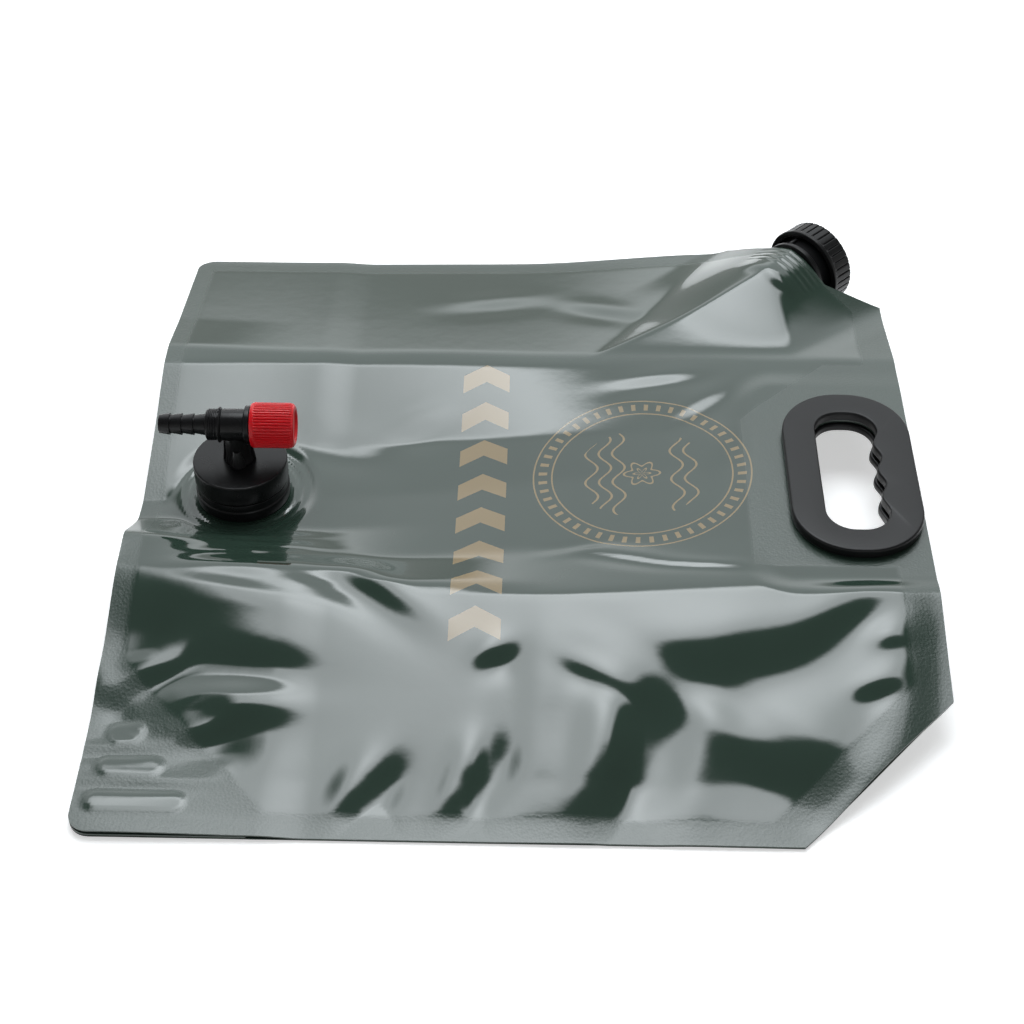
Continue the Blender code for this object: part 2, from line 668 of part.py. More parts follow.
def build_tap(parts, helpers, turn_pivot, knob_pivot):
    """The tap's body, its hose nozzle, and the valve that the knob screws against its seat."""
    upright = Matrix.Translation((TAP_X, TAP_Y, 0))
    along = Matrix.Translation((TAP_X, TAP_Y, BARREL_Z)) @ Matrix.Rotation(math.pi / 2, 4, "Y")
    under = CLOSURE_END - CLOSURE_TOP
    lip = SPIGOT_RADIUS + SPIGOT_LIP
    spigot_end = under - SEAT_GAP - SPIGOT_LIP_HEIGHT
    stem = turned(
        (
            (0, BARREL_Z),
            (STEM_RADIUS, BARREL_Z),
            (STEM_RADIUS, CLOSURE_END + SEAT_GAP),
            (SPIGOT_RADIUS, CLOSURE_END + SEAT_GAP),
            (SPIGOT_RADIUS, under - SEAT_GAP),
            (lip, under - SEAT_GAP),
            (SPIGOT_RADIUS, spigot_end),
            (0, spigot_end),
        ),
        SMALL_ROUND_STEPS,
    )
    body = place("tap_body", stem, parts, BLACK_PLASTIC, upright)
    recess_high = BARREL_FRONT + BONNET_FLANGE + CUT_OVERRUN
    recess = rod(BONNET_FLANGE_RADIUS + SEAT_GAP, BARREL_FRONT - SEAT_GAP, recess_high)
    combine(body, place("bonnet_recess_cutter", recess, helpers, matrix=along))
    barrel_mesh = rod(BARREL_RADIUS, -BARREL_BACK, BARREL_FRONT, ROUND_STEPS)
    barrel = place("barrel_blank", barrel_mesh, helpers, matrix=along)
    combine(body, barrel, "UNION")
    boss = turned(
        (
            (0, CLOSURE_END + BOSS_HEIGHT),
            (BOSS_TIP_RADIUS, CLOSURE_END + BOSS_HEIGHT),
            (BOSS_RADIUS, CLOSURE_END + 2 * SEAT_GAP),
            (0, CLOSURE_END + 2 * SEAT_GAP),
        ),
        SMALL_ROUND_STEPS,
    )
    boss_place = Matrix.Translation((TAP_X, TAP_Y + BOSS_SINK - STEM_RADIUS, 0))
    combine(body, place("boss_blank", boss, helpers, matrix=boss_place), "UNION")
    socket_radius = NOZZLE_BORE_RADIUS + SPIGOT_WALL + SEAT_GAP
    seat_front = SEAT_WALL - SEAT_BACK
    seat_rear = -SEAT_BACK - SEAT_GAP
    stepped_bore = turned(
        (
            (0, BARREL_FRONT + CUT_OVERRUN),
            (BARREL_BORE_RADIUS, BARREL_FRONT + CUT_OVERRUN),
            (BARREL_BORE_RADIUS, seat_front),
            (SEAT_BORE_RADIUS, seat_front),
            (SEAT_BORE_RADIUS, seat_rear),
            (socket_radius, seat_rear),
            (socket_radius, -BARREL_BACK - CUT_OVERRUN),
            (0, -BARREL_BACK - CUT_OVERRUN),
        ),
        SMALL_ROUND_STEPS,
    )
    combine(body, place("barrel_bore_cutter", stepped_bore, helpers, matrix=along))
    riser_top = BARREL_Z - BARREL_BORE_RADIUS + RISER_REACH
    riser = rod(STEM_BORE_RADIUS, spigot_end - CUT_OVERRUN, riser_top)
    combine(body, place("riser_cutter", riser, helpers, matrix=upright))

    nozzle = place("outlet_nozzle", nozzle_mesh(), parts, BLACK_PLASTIC, along)
    joint = -BARREL_BACK - SEAT_GAP
    o_ring_low = joint - 2 * O_RING_WALL
    o_ring_mesh = ring(BARREL_RADIUS - SEAT_GAP, socket_radius, o_ring_low, joint, SMALL_ROUND_STEPS)
    o_ring = place("nozzle_o_ring", o_ring_mesh, parts, BLACK_RUBBER, along)
    bonnet = place("tap_bonnet", bonnet_mesh(), parts, BLACK_PLASTIC, along)
    for obj in (body, nozzle, o_ring, bonnet):
        keep_parent(obj, turn_pivot)
    build_valve(parts, along, knob_pivot)


def nozzle_mesh():
    """Collar, spigot and barbed hose tail, turned about the barrel's axis with the tail towards -Z."""
    joint = -BARREL_BACK - 2 * SEAT_GAP - 2 * O_RING_WALL
    collar_end = joint - NOZZLE_COLLAR
    spigot = NOZZLE_BORE_RADIUS + SPIGOT_WALL
    profile = [(spigot, joint + SPIGOT_DEPTH), (spigot, joint)]
    profile += [(BARREL_RADIUS, joint), (BARREL_RADIUS, collar_end)]
    pitch = TAIL_LENGTH / BARBS
    for n in range(BARBS):
        start = collar_end - n * pitch
        profile.append((TAIL_RADIUS, start))
        profile.append((BARB_RADIUS, start - pitch * BARB_STEP_SHARE))
    profile.append((TAIL_RADIUS, collar_end - TAIL_LENGTH))
    profile.append((NOZZLE_BORE_RADIUS, collar_end - TAIL_LENGTH))
    profile.append((NOZZLE_BORE_RADIUS, joint + SPIGOT_DEPTH))
    return turned(profile, SMALL_ROUND_STEPS)


def bonnet_mesh():
    """Black flange ring with the plug in the barrel and the tube that the knob runs over."""
    low = BARREL_FRONT + SEAT_GAP
    shoulder = low + BONNET_FLANGE
    bore = SPINDLE_RADIUS + SEAT_GAP
    return turned(
        (
            (BONNET_TUBE_RADIUS, shoulder + BONNET_TUBE),
            (BONNET_TUBE_RADIUS, shoulder),
            (BONNET_FLANGE_RADIUS, shoulder),
            (BONNET_FLANGE_RADIUS, low),
            (BARREL_BORE_RADIUS - SEAT_GAP, low),
            (BARREL_BORE_RADIUS - SEAT_GAP, low - BONNET_PLUG * PLUG_BORE_SHARE),
            (bore, low - BONNET_PLUG * PLUG_BORE_SHARE),
            (bore, shoulder + BONNET_TUBE),
        ),
        SMALL_ROUND_STEPS,
    )


def build_valve(parts, along, pivot):
    """The spindle with its seal and O-ring, and the knob that turns over the bonnet."""
    shoulder = BARREL_FRONT + SEAT_GAP + BONNET_FLANGE
    knob_low = shoulder + SEAT_GAP
    knob_high = knob_low + KNOB_LENGTH
    seal_low = SEAT_WALL - SEAT_BACK + SEAT_GAP
    head_low = seal_low + VALVE_SEAL + SEAT_GAP
    spindle_end = knob_high - KNOB_CAP + KNOB_SOCKET_DEPTH - SEAT_GAP
    groove_low = shoulder + BONNET_TUBE * SPINDLE_RING_SHARE
    neck = SPINDLE_RADIUS - SPINDLE_RING_DEPTH
    spindle = turned(
        (
            (0, spindle_end),
            (SPINDLE_RADIUS, spindle_end),
            (SPINDLE_RADIUS, groove_low + SPINDLE_RING_WIDTH + SEAT_GAP),
            (neck, groove_low + SPINDLE_RING_WIDTH + SEAT_GAP),
            (neck, groove_low),
            (SPINDLE_RADIUS, groove_low),
            (SPINDLE_RADIUS, head_low + SPINDLE_HEAD),
            (SPINDLE_HEAD_RADIUS, head_low + SPINDLE_HEAD),
            (SPINDLE_HEAD_RADIUS, head_low),
            (0, head_low),
        ),
        SMALL_ROUND_STEPS,
    )
    half_gap = SEAT_GAP / 2
    seal = rod(SPINDLE_HEAD_RADIUS, seal_low, seal_low + VALVE_SEAL)
    ring_mesh = ring(
        SPINDLE_RADIUS + half_gap / 2, neck + half_gap, groove_low + half_gap,
        groove_low + half_gap + SPINDLE_RING_WIDTH, SMALL_ROUND_STEPS,
    )
    inner = KNOB_RADIUS - KNOB_WALL
    knob = turned(
        (
            (0, knob_high),
            (KNOB_RADIUS - KNOB_CHAMFER, knob_high),
            (KNOB_RADIUS, knob_high - KNOB_CHAMFER),
            (KNOB_RADIUS, knob_low),
            (inner, knob_low),
            (inner, knob_high - KNOB_CAP),
            (SPINDLE_RADIUS + SEAT_GAP, knob_high - KNOB_CAP),
            (SPINDLE_RADIUS + SEAT_GAP, knob_high - KNOB_CAP + KNOB_SOCKET_DEPTH),
            (0, knob_high - KNOB_CAP + KNOB_SOCKET_DEPTH),
        ),
    )
    made = (
        place("valve_spindle", spindle, parts, BLACK_PLASTIC, along),
        place("valve_seal", seal, parts, BLACK_RUBBER, along),
        place("spindle_o_ring", ring_mesh, parts, BLACK_RUBBER, along),
        place("tap_knob", knob, parts, RED_PLASTIC, along),
    )
    for obj in made:
        keep_parent(obj, pivot)


def spout_matrix():
    """The spout's frame: its Z runs out along the spout, its Y up and its X to the left of it."""
    forward = Vector((math.cos(SPOUT_TURN), math.sin(SPOUT_TURN), 0))
    left = Vector((-forward.y, forward.x, 0))
    up = Vector((0, 0, 1))
    turn = Matrix((left, up, forward)).transposed().to_4x4()
    return Matrix.Translation((SPOUT_X, SPOUT_Y, SPOUT_Z)) @ turn


def boat_outline(inset=0.0):
    """The weld boat's lens section, from arcs of a parabola above and below its middle plane."""
    steps = BOAT_STEPS
    upper = []
    for n in range(steps + 1):
        share = 2 * n / steps - 1
        width = BOAT_HALF_WIDTH - inset
        rise = (BOAT_HALF_THICKNESS - BOAT_TIP - inset) * (1 - share * share)
        upper.append((share * width, BOAT_TIP + rise))
    return [(x, -y) for x, y in upper] + upper[::-1]


def build_filler(parts, helpers):
    """The weld boat with its flange and threaded neck, and the screw cap with its liner."""
    frame = spout_matrix()
    boat_length = BOAT_BACK - BOAT_FRONT
    boat_middle = -(BOAT_BACK + BOAT_FRONT) / 2
    spout = place("filler_spout", plate([boat_outline(BOAT_RIB_DEPTH)], boat_length), parts, BLACK_PLASTIC)
    spout.matrix_world = frame @ Matrix.Translation((0, 0, boat_middle))
    rib_pitch = boat_length / BOAT_RIBS
    for n in range(BOAT_RIBS):
        centre = rib_pitch * (2 * n + 1) / 2 - BOAT_BACK
        rib = plate([boat_outline()], rib_pitch / 2)
        helper = place("boat_rib_%d" % n, rib, helpers, matrix=frame @ Matrix.Translation((0, 0, centre)))
        combine(spout, helper, "UNION")
    flange_low = SEAT_GAP - BOAT_FRONT
    flange_high = flange_low + SPOUT_FLANGE
    throat_radius = BOAT_HALF_THICKNESS - BOAT_THROAT_STEP
    neck = turned(
        (
            (0, SPOUT_NECK_END),
            (SPOUT_NECK_RADIUS, SPOUT_NECK_END),
            (SPOUT_NECK_RADIUS, flange_high),
            (SPOUT_FLANGE_RADIUS, flange_high),
            (SPOUT_FLANGE_RADIUS, flange_low),
            (throat_radius, flange_low),
            (throat_radius, -BOAT_FRONT - CUT_OVERRUN),
            (0, -BOAT_FRONT - CUT_OVERRUN),
        )
    )
    combine(spout, place("spout_neck_blank", neck, helpers, matrix=frame), "UNION")
    low = CAP_RIM + 2 * THREAD_RADIUS
    turns = (SPOUT_NECK_END - 2 * THREAD_RADIUS - low) / THREAD_PITCH
    ridge = thread(SPOUT_NECK_RADIUS, low, turns, THREAD_PITCH)
    combine(spout, place("spout_thread", ridge, helpers, matrix=frame), "UNION")
    mouth = rod(SPOUT_BORE_RADIUS, flange_high, SPOUT_NECK_END + CUT_OVERRUN, ROUND_STEPS)
    combine(spout, place("spout_mouth_cutter", mouth, helpers, matrix=frame))
    boat_bore = BOAT_HALF_THICKNESS - BOAT_WALL
    bore = rod(boat_bore, -BOAT_BACK - CUT_OVERRUN, 0, ROUND_STEPS)
    combine(spout, place("spout_bore_cutter", bore, helpers, matrix=frame))

    inside = CAP_RADIUS - CAP_WALL
    under = CAP_END - CAP_TOP
    cap_profile = (
        (0, CAP_END),
        (CAP_RADIUS - CAP_EDGE, CAP_END),
        (CAP_RADIUS, CAP_END - CAP_EDGE),
        (CAP_RADIUS, CAP_RIM),
        (inside, CAP_RIM),
        (inside, under),
        (0, under),
    )
    cap = place("filler_cap", turned(cap_profile), parts, BLACK_PLASTIC, frame)
    liner_mesh = rod(LINER_RADIUS, under - SEAT_GAP - LINER, under - SEAT_GAP, ROUND_STEPS)
    liner = place("filler_cap_liner", liner_mesh, parts, BLACK_RUBBER, frame)
    return spout, cap, liner


def crease_pivot(name, group, y, left_z, right_z):
    """An empty on a crease, with its X along the crease line."""
    rise = math.atan2(right_z - left_z, BAG_LENGTH)
    middle = Matrix.Translation((0, y, (left_z + right_z) / 2))
    return pivot_at(name, group, middle @ Matrix.Rotation(-rise, 4, "Y"))


def main():
    clear_scene()
    parts = collection("collapsible_water_carrier")
    helpers = collection("cutters")
    films = build_bag(parts, helpers)
    build_handle(parts, helpers, films)
    build_tap_fitment(parts, helpers, films)
    turn_pivot = pivot_at("tap_turn_axis", parts, Matrix.Translation((TAP_X, TAP_Y, CLOSURE_Z)))
    knob_pivot = pivot_at("knob_turn_axis", parts, Matrix.Translation((TAP_X, TAP_Y, BARREL_Z)))
    keep_parent(knob_pivot, turn_pivot)
    build_tap_closure(parts, turn_pivot)
    build_tap(parts, helpers, turn_pivot, knob_pivot)
    spout, cap, liner = build_filler(parts, helpers)
    near_heights = (NEAR_PIVOT_LEFT_Z, NEAR_PIVOT_RIGHT_Z)
    far_heights = (FAR_PIVOT_LEFT_Z, FAR_PIVOT_RIGHT_Z)
    near_pivot = crease_pivot("near_crease_axis", parts, NEAR_CREASE_Y, *near_heights)
    far_pivot = crease_pivot("far_crease_axis", parts, FAR_CREASE_Y, *far_heights)
    cap_pivot = pivot_at("cap_turn_axis", parts, spout_matrix())
    keep_parent(cap_pivot, far_pivot)
    for wall in ("front_film_", "back_film_", "bottom_gusset_"):
        keep_parent(films[wall + "near"], near_pivot)
        keep_parent(films[wall + "far"], far_pivot)
    keep_parent(spout, far_pivot)
    keep_parent(cap, cap_pivot)
    keep_parent(liner, cap_pivot)


main()
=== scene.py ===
"""Collapsible water carrier laid flat: its film bag, filler, carrying handle and tap, in a pale studio."""

import logging
import math
from collections.abc import Callable, Sequence
from dataclasses import dataclass
from enum import Enum

import bmesh
import bpy
import numpy as np
from bpy.types import ID, Material, Mesh, Node, NodeSocket, NodeTree, Object
from mathutils import Matrix, Vector


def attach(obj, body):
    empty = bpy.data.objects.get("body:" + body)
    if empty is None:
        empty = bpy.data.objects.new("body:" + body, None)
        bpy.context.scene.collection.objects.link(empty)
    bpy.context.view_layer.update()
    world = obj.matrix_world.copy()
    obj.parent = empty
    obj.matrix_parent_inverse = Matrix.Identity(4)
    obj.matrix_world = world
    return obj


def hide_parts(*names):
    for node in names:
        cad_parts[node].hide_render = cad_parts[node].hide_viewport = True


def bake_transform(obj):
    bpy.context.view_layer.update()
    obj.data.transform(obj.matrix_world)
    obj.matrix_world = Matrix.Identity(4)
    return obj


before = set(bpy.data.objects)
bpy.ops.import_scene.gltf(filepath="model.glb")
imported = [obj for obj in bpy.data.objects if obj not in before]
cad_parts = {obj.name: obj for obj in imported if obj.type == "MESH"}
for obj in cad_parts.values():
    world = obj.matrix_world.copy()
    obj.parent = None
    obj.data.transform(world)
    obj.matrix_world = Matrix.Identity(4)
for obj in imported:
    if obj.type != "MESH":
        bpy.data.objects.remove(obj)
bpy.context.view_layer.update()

LOG = logging.getLogger("water_carrier")
MM = 0.001
HERE = Matrix.Identity(4)

# Places and sizes that the film shares with its fittings, in metres
HANDLE_CENTRE = (0.166, -0.001)
HANDLE_SIZE = (0.066, 0.120)
TAP_CENTRE = (-0.1475, 0.006)
FLANGE_RADIUS = 0.0300
SPOUT_CENTRE = (0.155, 0.179, 0.026)
BOAT_BACK = 0.024
BOAT_FRONT = 0.0060
SEAT_GAP = 0.0003

# Node types
MATH = "ShaderNodeMath"
VECTOR = "ShaderNodeVectorMath"
RANGE = "ShaderNodeMapRange"
SPLIT = "ShaderNodeSeparateXYZ"
GATHER = "ShaderNodeCombineXYZ"
NOISE = "ShaderNodeTexNoise"
BUMP = "ShaderNodeBump"
SHADER = "ShaderNodeBsdfPrincipled"
SURFACE = "ShaderNodeOutputMaterial"
JOIN = "GeometryNodeJoinGeometry"

Array = np.ndarray
Inputs = dict | tuple | list
Point2 = tuple[float, float]
Corner = tuple[float, float, float]
HeightOf = Callable[[Array, Array], Array]


class Panel(Enum):
    """The three panels that the two creases make of each wall."""

    NEAR = "near"
    CENTRE = "centre"
    FAR = "far"


class Body(Enum):
    """The bodies that the pieces ride on."""

    CENTRE_PANEL = "centre_panel"
    NEAR_FLAP = "near_flap"
    FAR_FLAP = "far_flap"
    CAP = "cap"
    TAP = "tap"
    KNOB = "knob"


# Shared helpers


def linear(hex_colour: str) -> tuple[float, float, float, float]:
    """Turns an sRGB hex value into a linear colour.

    Args:
        hex_colour: The colour as "#RRGGBB".

    Returns:
        Red, green, blue and alpha, linear.
    """
    channels = []
    for start in (1, 3, 5):
        value = int(hex_colour[start:start + 2], 16) / 255
        channels.append(value / 12.92 if value <= 0.04045 else ((value + 0.055) / 1.055) ** 2.4)
    return (channels[0], channels[1], channels[2], 1.0)


def add(tree: NodeTree, kind: str, inputs: Inputs = (), **settings: object) -> Node:
    """Adds a node with its settings and links.

    Args:
        tree: The tree that gets the node.
        kind: The node's type name.
        inputs: A value, a node or a socket to link for each input, in order, or by its name or place.
        settings: Properties of the node.

    Returns:
        The new node.
    """
    node = tree.nodes.new(kind)
    for name, value in settings.items():
        setattr(node, name, value)
    for name, value in inputs.items() if isinstance(inputs, dict) else enumerate(inputs):
        if isinstance(value, Node):
            value = value.outputs[0]
        if isinstance(value, NodeSocket):
            tree.links.new(value, node.inputs[name])
        else:
            node.inputs[name].default_value = value
    return node


def new_material(name: str) -> tuple[Material, NodeTree]:
    """Makes a material with an empty node tree.

    Args:
        name: The material's name.

    Returns:
        The material and its tree.
    """
    material = bpy.data.materials.new(name)
    material.use_nodes = True
    material.node_tree.nodes.clear()
    return material, material.node_tree


def ease(amount: Array | float) -> Array:
    """Eases an amount from 0 to 1 without corners."""
    held = np.clip(amount, 0.0, 1.0)
    return held * held * (3 - 2 * held)


def rounded(corners: Sequence[Corner], steps: int = 4) -> list[Point2]:
    """Rounds the corners of a closed profile.

    Args:
        corners: Each corner's two coordinates and how far its rounding reaches.
        steps: Segments of each rounding.

    Returns:
        The points of the rounded profile.
    """
    points: list[Point2] = []
    count = len(corners)
    for n, (x, y, reach) in enumerate(corners):
        if reach <= 0:
            points.append((x, y))
            continue
        ends = []
        for other in (corners[n - 1], corners[(n + 1) % count]):
            span = math.hypot(other[0] - x, other[1] - y)
            share = min(reach / span, 0.48) if span else 0.0
            ends.append((x + (other[0] - x) * share, y + (other[1] - y) * share))
        for step in range(steps + 1):
            t = step / steps
            before, here, after = (1 - t) ** 2, 2 * t * (1 - t), t * t
            points.append((
                before * ends[0][0] + here * x + after * ends[1][0],
                before * ends[0][1] + here * y + after * ends[1][1],
            ))
    return points


def rounded_rectangle(width: float, length: float, radius: float, steps: int = 10) -> list[Point2]:
    """Points of a rectangle with round corners about the origin, anticlockwise from its +X side.

    Args:
        width: Its size in X.
        length: Its size in Y.
        radius: Radius of its corners.
        steps: Segments of each corner.

    Returns:
        The points of the rectangle.
    """
    points = []
    for corner, (side_x, side_y) in enumerate(((1, 1), (-1, 1), (-1, -1), (1, -1))):
        centre_x = side_x * (width / 2 - radius)
        centre_y = side_y * (length / 2 - radius)
        for n in range(steps + 1):
            angle = math.pi / 2 * (corner + n / steps)
            points.append((centre_x + radius * math.cos(angle), centre_y + radius * math.sin(angle)))
    return points


def inside_outline(x: Array, y: Array, outline: Sequence[Point2]) -> Array:
    """Tells which points lie inside a closed outline.

    Args:
        x: The points' X.
        y: The points' Y.
        outline: The outline's corners.

    Returns:
        True for each point inside.
    """
    inside = np.zeros(np.shape(x), bool)
    for (x0, y0), (x1, y1) in zip([outline[-1], *outline[:-1]], outline):
        if y0 == y1:
            continue
        crosses = ((y0 > y) != (y1 > y)) & (x < (x1 - x0) * (y - y0) / (y1 - y0) + x0)
        inside ^= crosses
    return inside


def mesh_of(name: str, vertices: Sequence, faces: Sequence) -> Mesh:
    """Makes a mesh from vertices and faces.

    Args:
        name: The mesh's name.
        vertices: The place of each vertex.
        faces: The vertices of each face.

    Returns:
        The new mesh.
    """
    mesh = bpy.data.meshes.new(name)
    mesh.from_pydata([tuple(v) for v in vertices], [], [tuple(f) for f in faces])
    mesh.update()
    return mesh


def turned(name: str, profile: Sequence[Point2], steps: int = 128) -> Mesh:
    """Turns a closed profile about Z, as a lathe does.

    Args:
        name: The mesh's name.
        profile: Radius and height of each point of the closed profile.
        steps: Segments round the axis.

    Returns:
        A closed mesh with its faces outwards.
    """
    vertices: list[tuple[float, float, float]] = []
    rings: list[list[int]] = []
    for radius, height in profile:
        start = len(vertices)
        if radius < 1e-7:
            vertices.append((0.0, 0.0, height))
            rings.append([start] * steps)
            continue
        for n in range(steps):
            angle = 2 * math.pi * n / steps
            vertices.append((radius * math.cos(angle), radius * math.sin(angle), height))
        rings.append(list(range(start, start + steps)))
    faces = []
    for low, high in zip(rings, rings[1:] + rings[:1]):
        if low[0] == low[1] and high[0] == high[1]:
            continue
        for n in range(steps):
            m = (n + 1) % steps
            corners = list(dict.fromkeys((low[n], low[m], high[m], high[n])))
            faces.append(corners)
    return outwards(mesh_of(name, vertices, faces))


def outwards(mesh: Mesh) -> Mesh:
    """Makes a closed mesh's normals point outwards.

    Args:
        mesh: The mesh, which is changed.

    Returns:
        The same mesh.
    """
    work = bmesh.new()
    work.from_mesh(mesh)
    bmesh.ops.remove_doubles(work, verts=work.verts, dist=1e-7)
    bmesh.ops.recalc_face_normals(work, faces=work.faces)
    work.to_mesh(mesh)
    work.free()
    return mesh


def joined(name: str, meshes: Sequence[Mesh]) -> Mesh:
    """Joins several meshes into one.

    Args:
        name: The mesh's name.
        meshes: The meshes to join.

    Returns:
        The new mesh.
    """
    work = bmesh.new()
    for mesh in meshes:
        work.from_mesh(mesh)
    result = bpy.data.meshes.new(name)
    work.to_mesh(result)
    work.free()
    return result


def swept(name: str, loops: Sequence[Sequence[Sequence[float]]], closed: bool) -> Mesh:
    """Joins loops of equal length into a skin.

    Args:
        name: The mesh's name.
        loops: The sections, in order.
        closed: True where the last section joins the first; otherwise both ends get a face.

    Returns:
        A closed mesh with its faces outwards.
    """
    size = len(loops[0])
    vertices = [tuple(point) for loop in loops for point in loop]
    count = len(loops)
    faces = []
    for k in range(count if closed else count - 1):
        low, high = k * size, ((k + 1) % count) * size
        for n in range(size):
            m = (n + 1) % size
            faces.append((low + n, low + m, high + m, high + n))
    if not closed:
        faces.append(tuple(range(size))[::-1])
        faces.append(tuple(range((count - 1) * size, count * size)))
    return outwards(mesh_of(name, vertices, faces))


def shade(mesh: Mesh, degrees: float = 35.0) -> Mesh:
    """Shades a mesh smooth, with its edges past an angle kept sharp.

    Args:
        mesh: The mesh, which is changed.
        degrees: The angle.

    Returns:
        The same mesh.
    """
    mesh.shade_smooth()
    mesh.set_sharp_from_angle(angle=math.radians(degrees))
    return mesh


def lathed(
    name: str, corners: Sequence[Corner], steps: int = 128, place: Matrix = HERE, degrees: float = 35.0,
) -> Mesh:
    """Turns a profile with rounded corners about Z, shades it and moves it to its place.

    Args:
        name: The mesh's name.
        corners: Radius, height and rounding of each corner.
        steps: Segments round the axis.
        place: Where the mesh goes.
        degrees: Edges past this angle stay sharp.

    Returns:
        The closed mesh.
    """
    mesh = shade(turned(name, rounded(corners), steps), degrees)
    mesh.transform(place)
    return mesh


def in_scene(name: str, data: ID) -> Object:
    """Makes an object of some data and links it to the scene.

    Args:
        name: The object's name.
        data: The object's data.

    Returns:
        The new object.
    """
    obj = bpy.data.objects.new(name, data)
    bpy.context.scene.collection.objects.link(obj)
    return obj


def piece(
    mesh: Mesh,
    body: Body | None,
    material: Material,
    replaced: Sequence[str] = (),
) -> Object:
    """Puts a mesh in the scene as a named piece that rides on a body.

    Args:
        mesh: The mesh, with its place in it. Its name is the piece's name.
        body: The body it rides on, or None for a piece that stays fixed where it lies.
        material: Its material.
        replaced: The frame's nodes that it stands for.

    Returns:
        The new object.
    """
    obj = in_scene(mesh.name, mesh)
    mesh.materials.clear()
    mesh.materials.append(material)
    if body is not None:
        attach(obj, body.value)
    if replaced:
        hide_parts(*replaced)
    LOG.info("%s: %d faces on %s", obj.name, len(mesh.polygons), body.value if body else "a crease")
    return obj


# Geometry node trees


def node_shape(
    name: str,
    base: Mesh,
    tree: NodeTree,
    values: dict[str, object],
    place: Matrix = HERE,
) -> Mesh:
    """Runs a Geometry Nodes tree on a mesh and keeps the result as a plain mesh.

    Args:
        name: The result's name.
        base: The mesh that the tree starts from.
        tree: The tree.
        values: The tree's inputs by name.
        place: Where the result goes.

    Returns:
        The plain mesh, in its place.
    """
    obj = in_scene(name + "_work", base)
    modifier = obj.modifiers.new("shape", "NODES")
    modifier.node_group = tree
    for item in tree.interface.items_tree:
        if item.in_out == "INPUT" and item.name in values:
            modifier[item.identifier] = values[item.name]
    graph = bpy.context.evaluated_depsgraph_get()
    result = bpy.data.meshes.new_from_object(obj.evaluated_get(graph), depsgraph=graph)
    result.name = name
    bpy.data.objects.remove(obj, do_unlink=True)
    result.transform(place)
    return result


FLUTED_SKIN = 0.9 * MM
STEP_LENGTH = 0.1 * MM


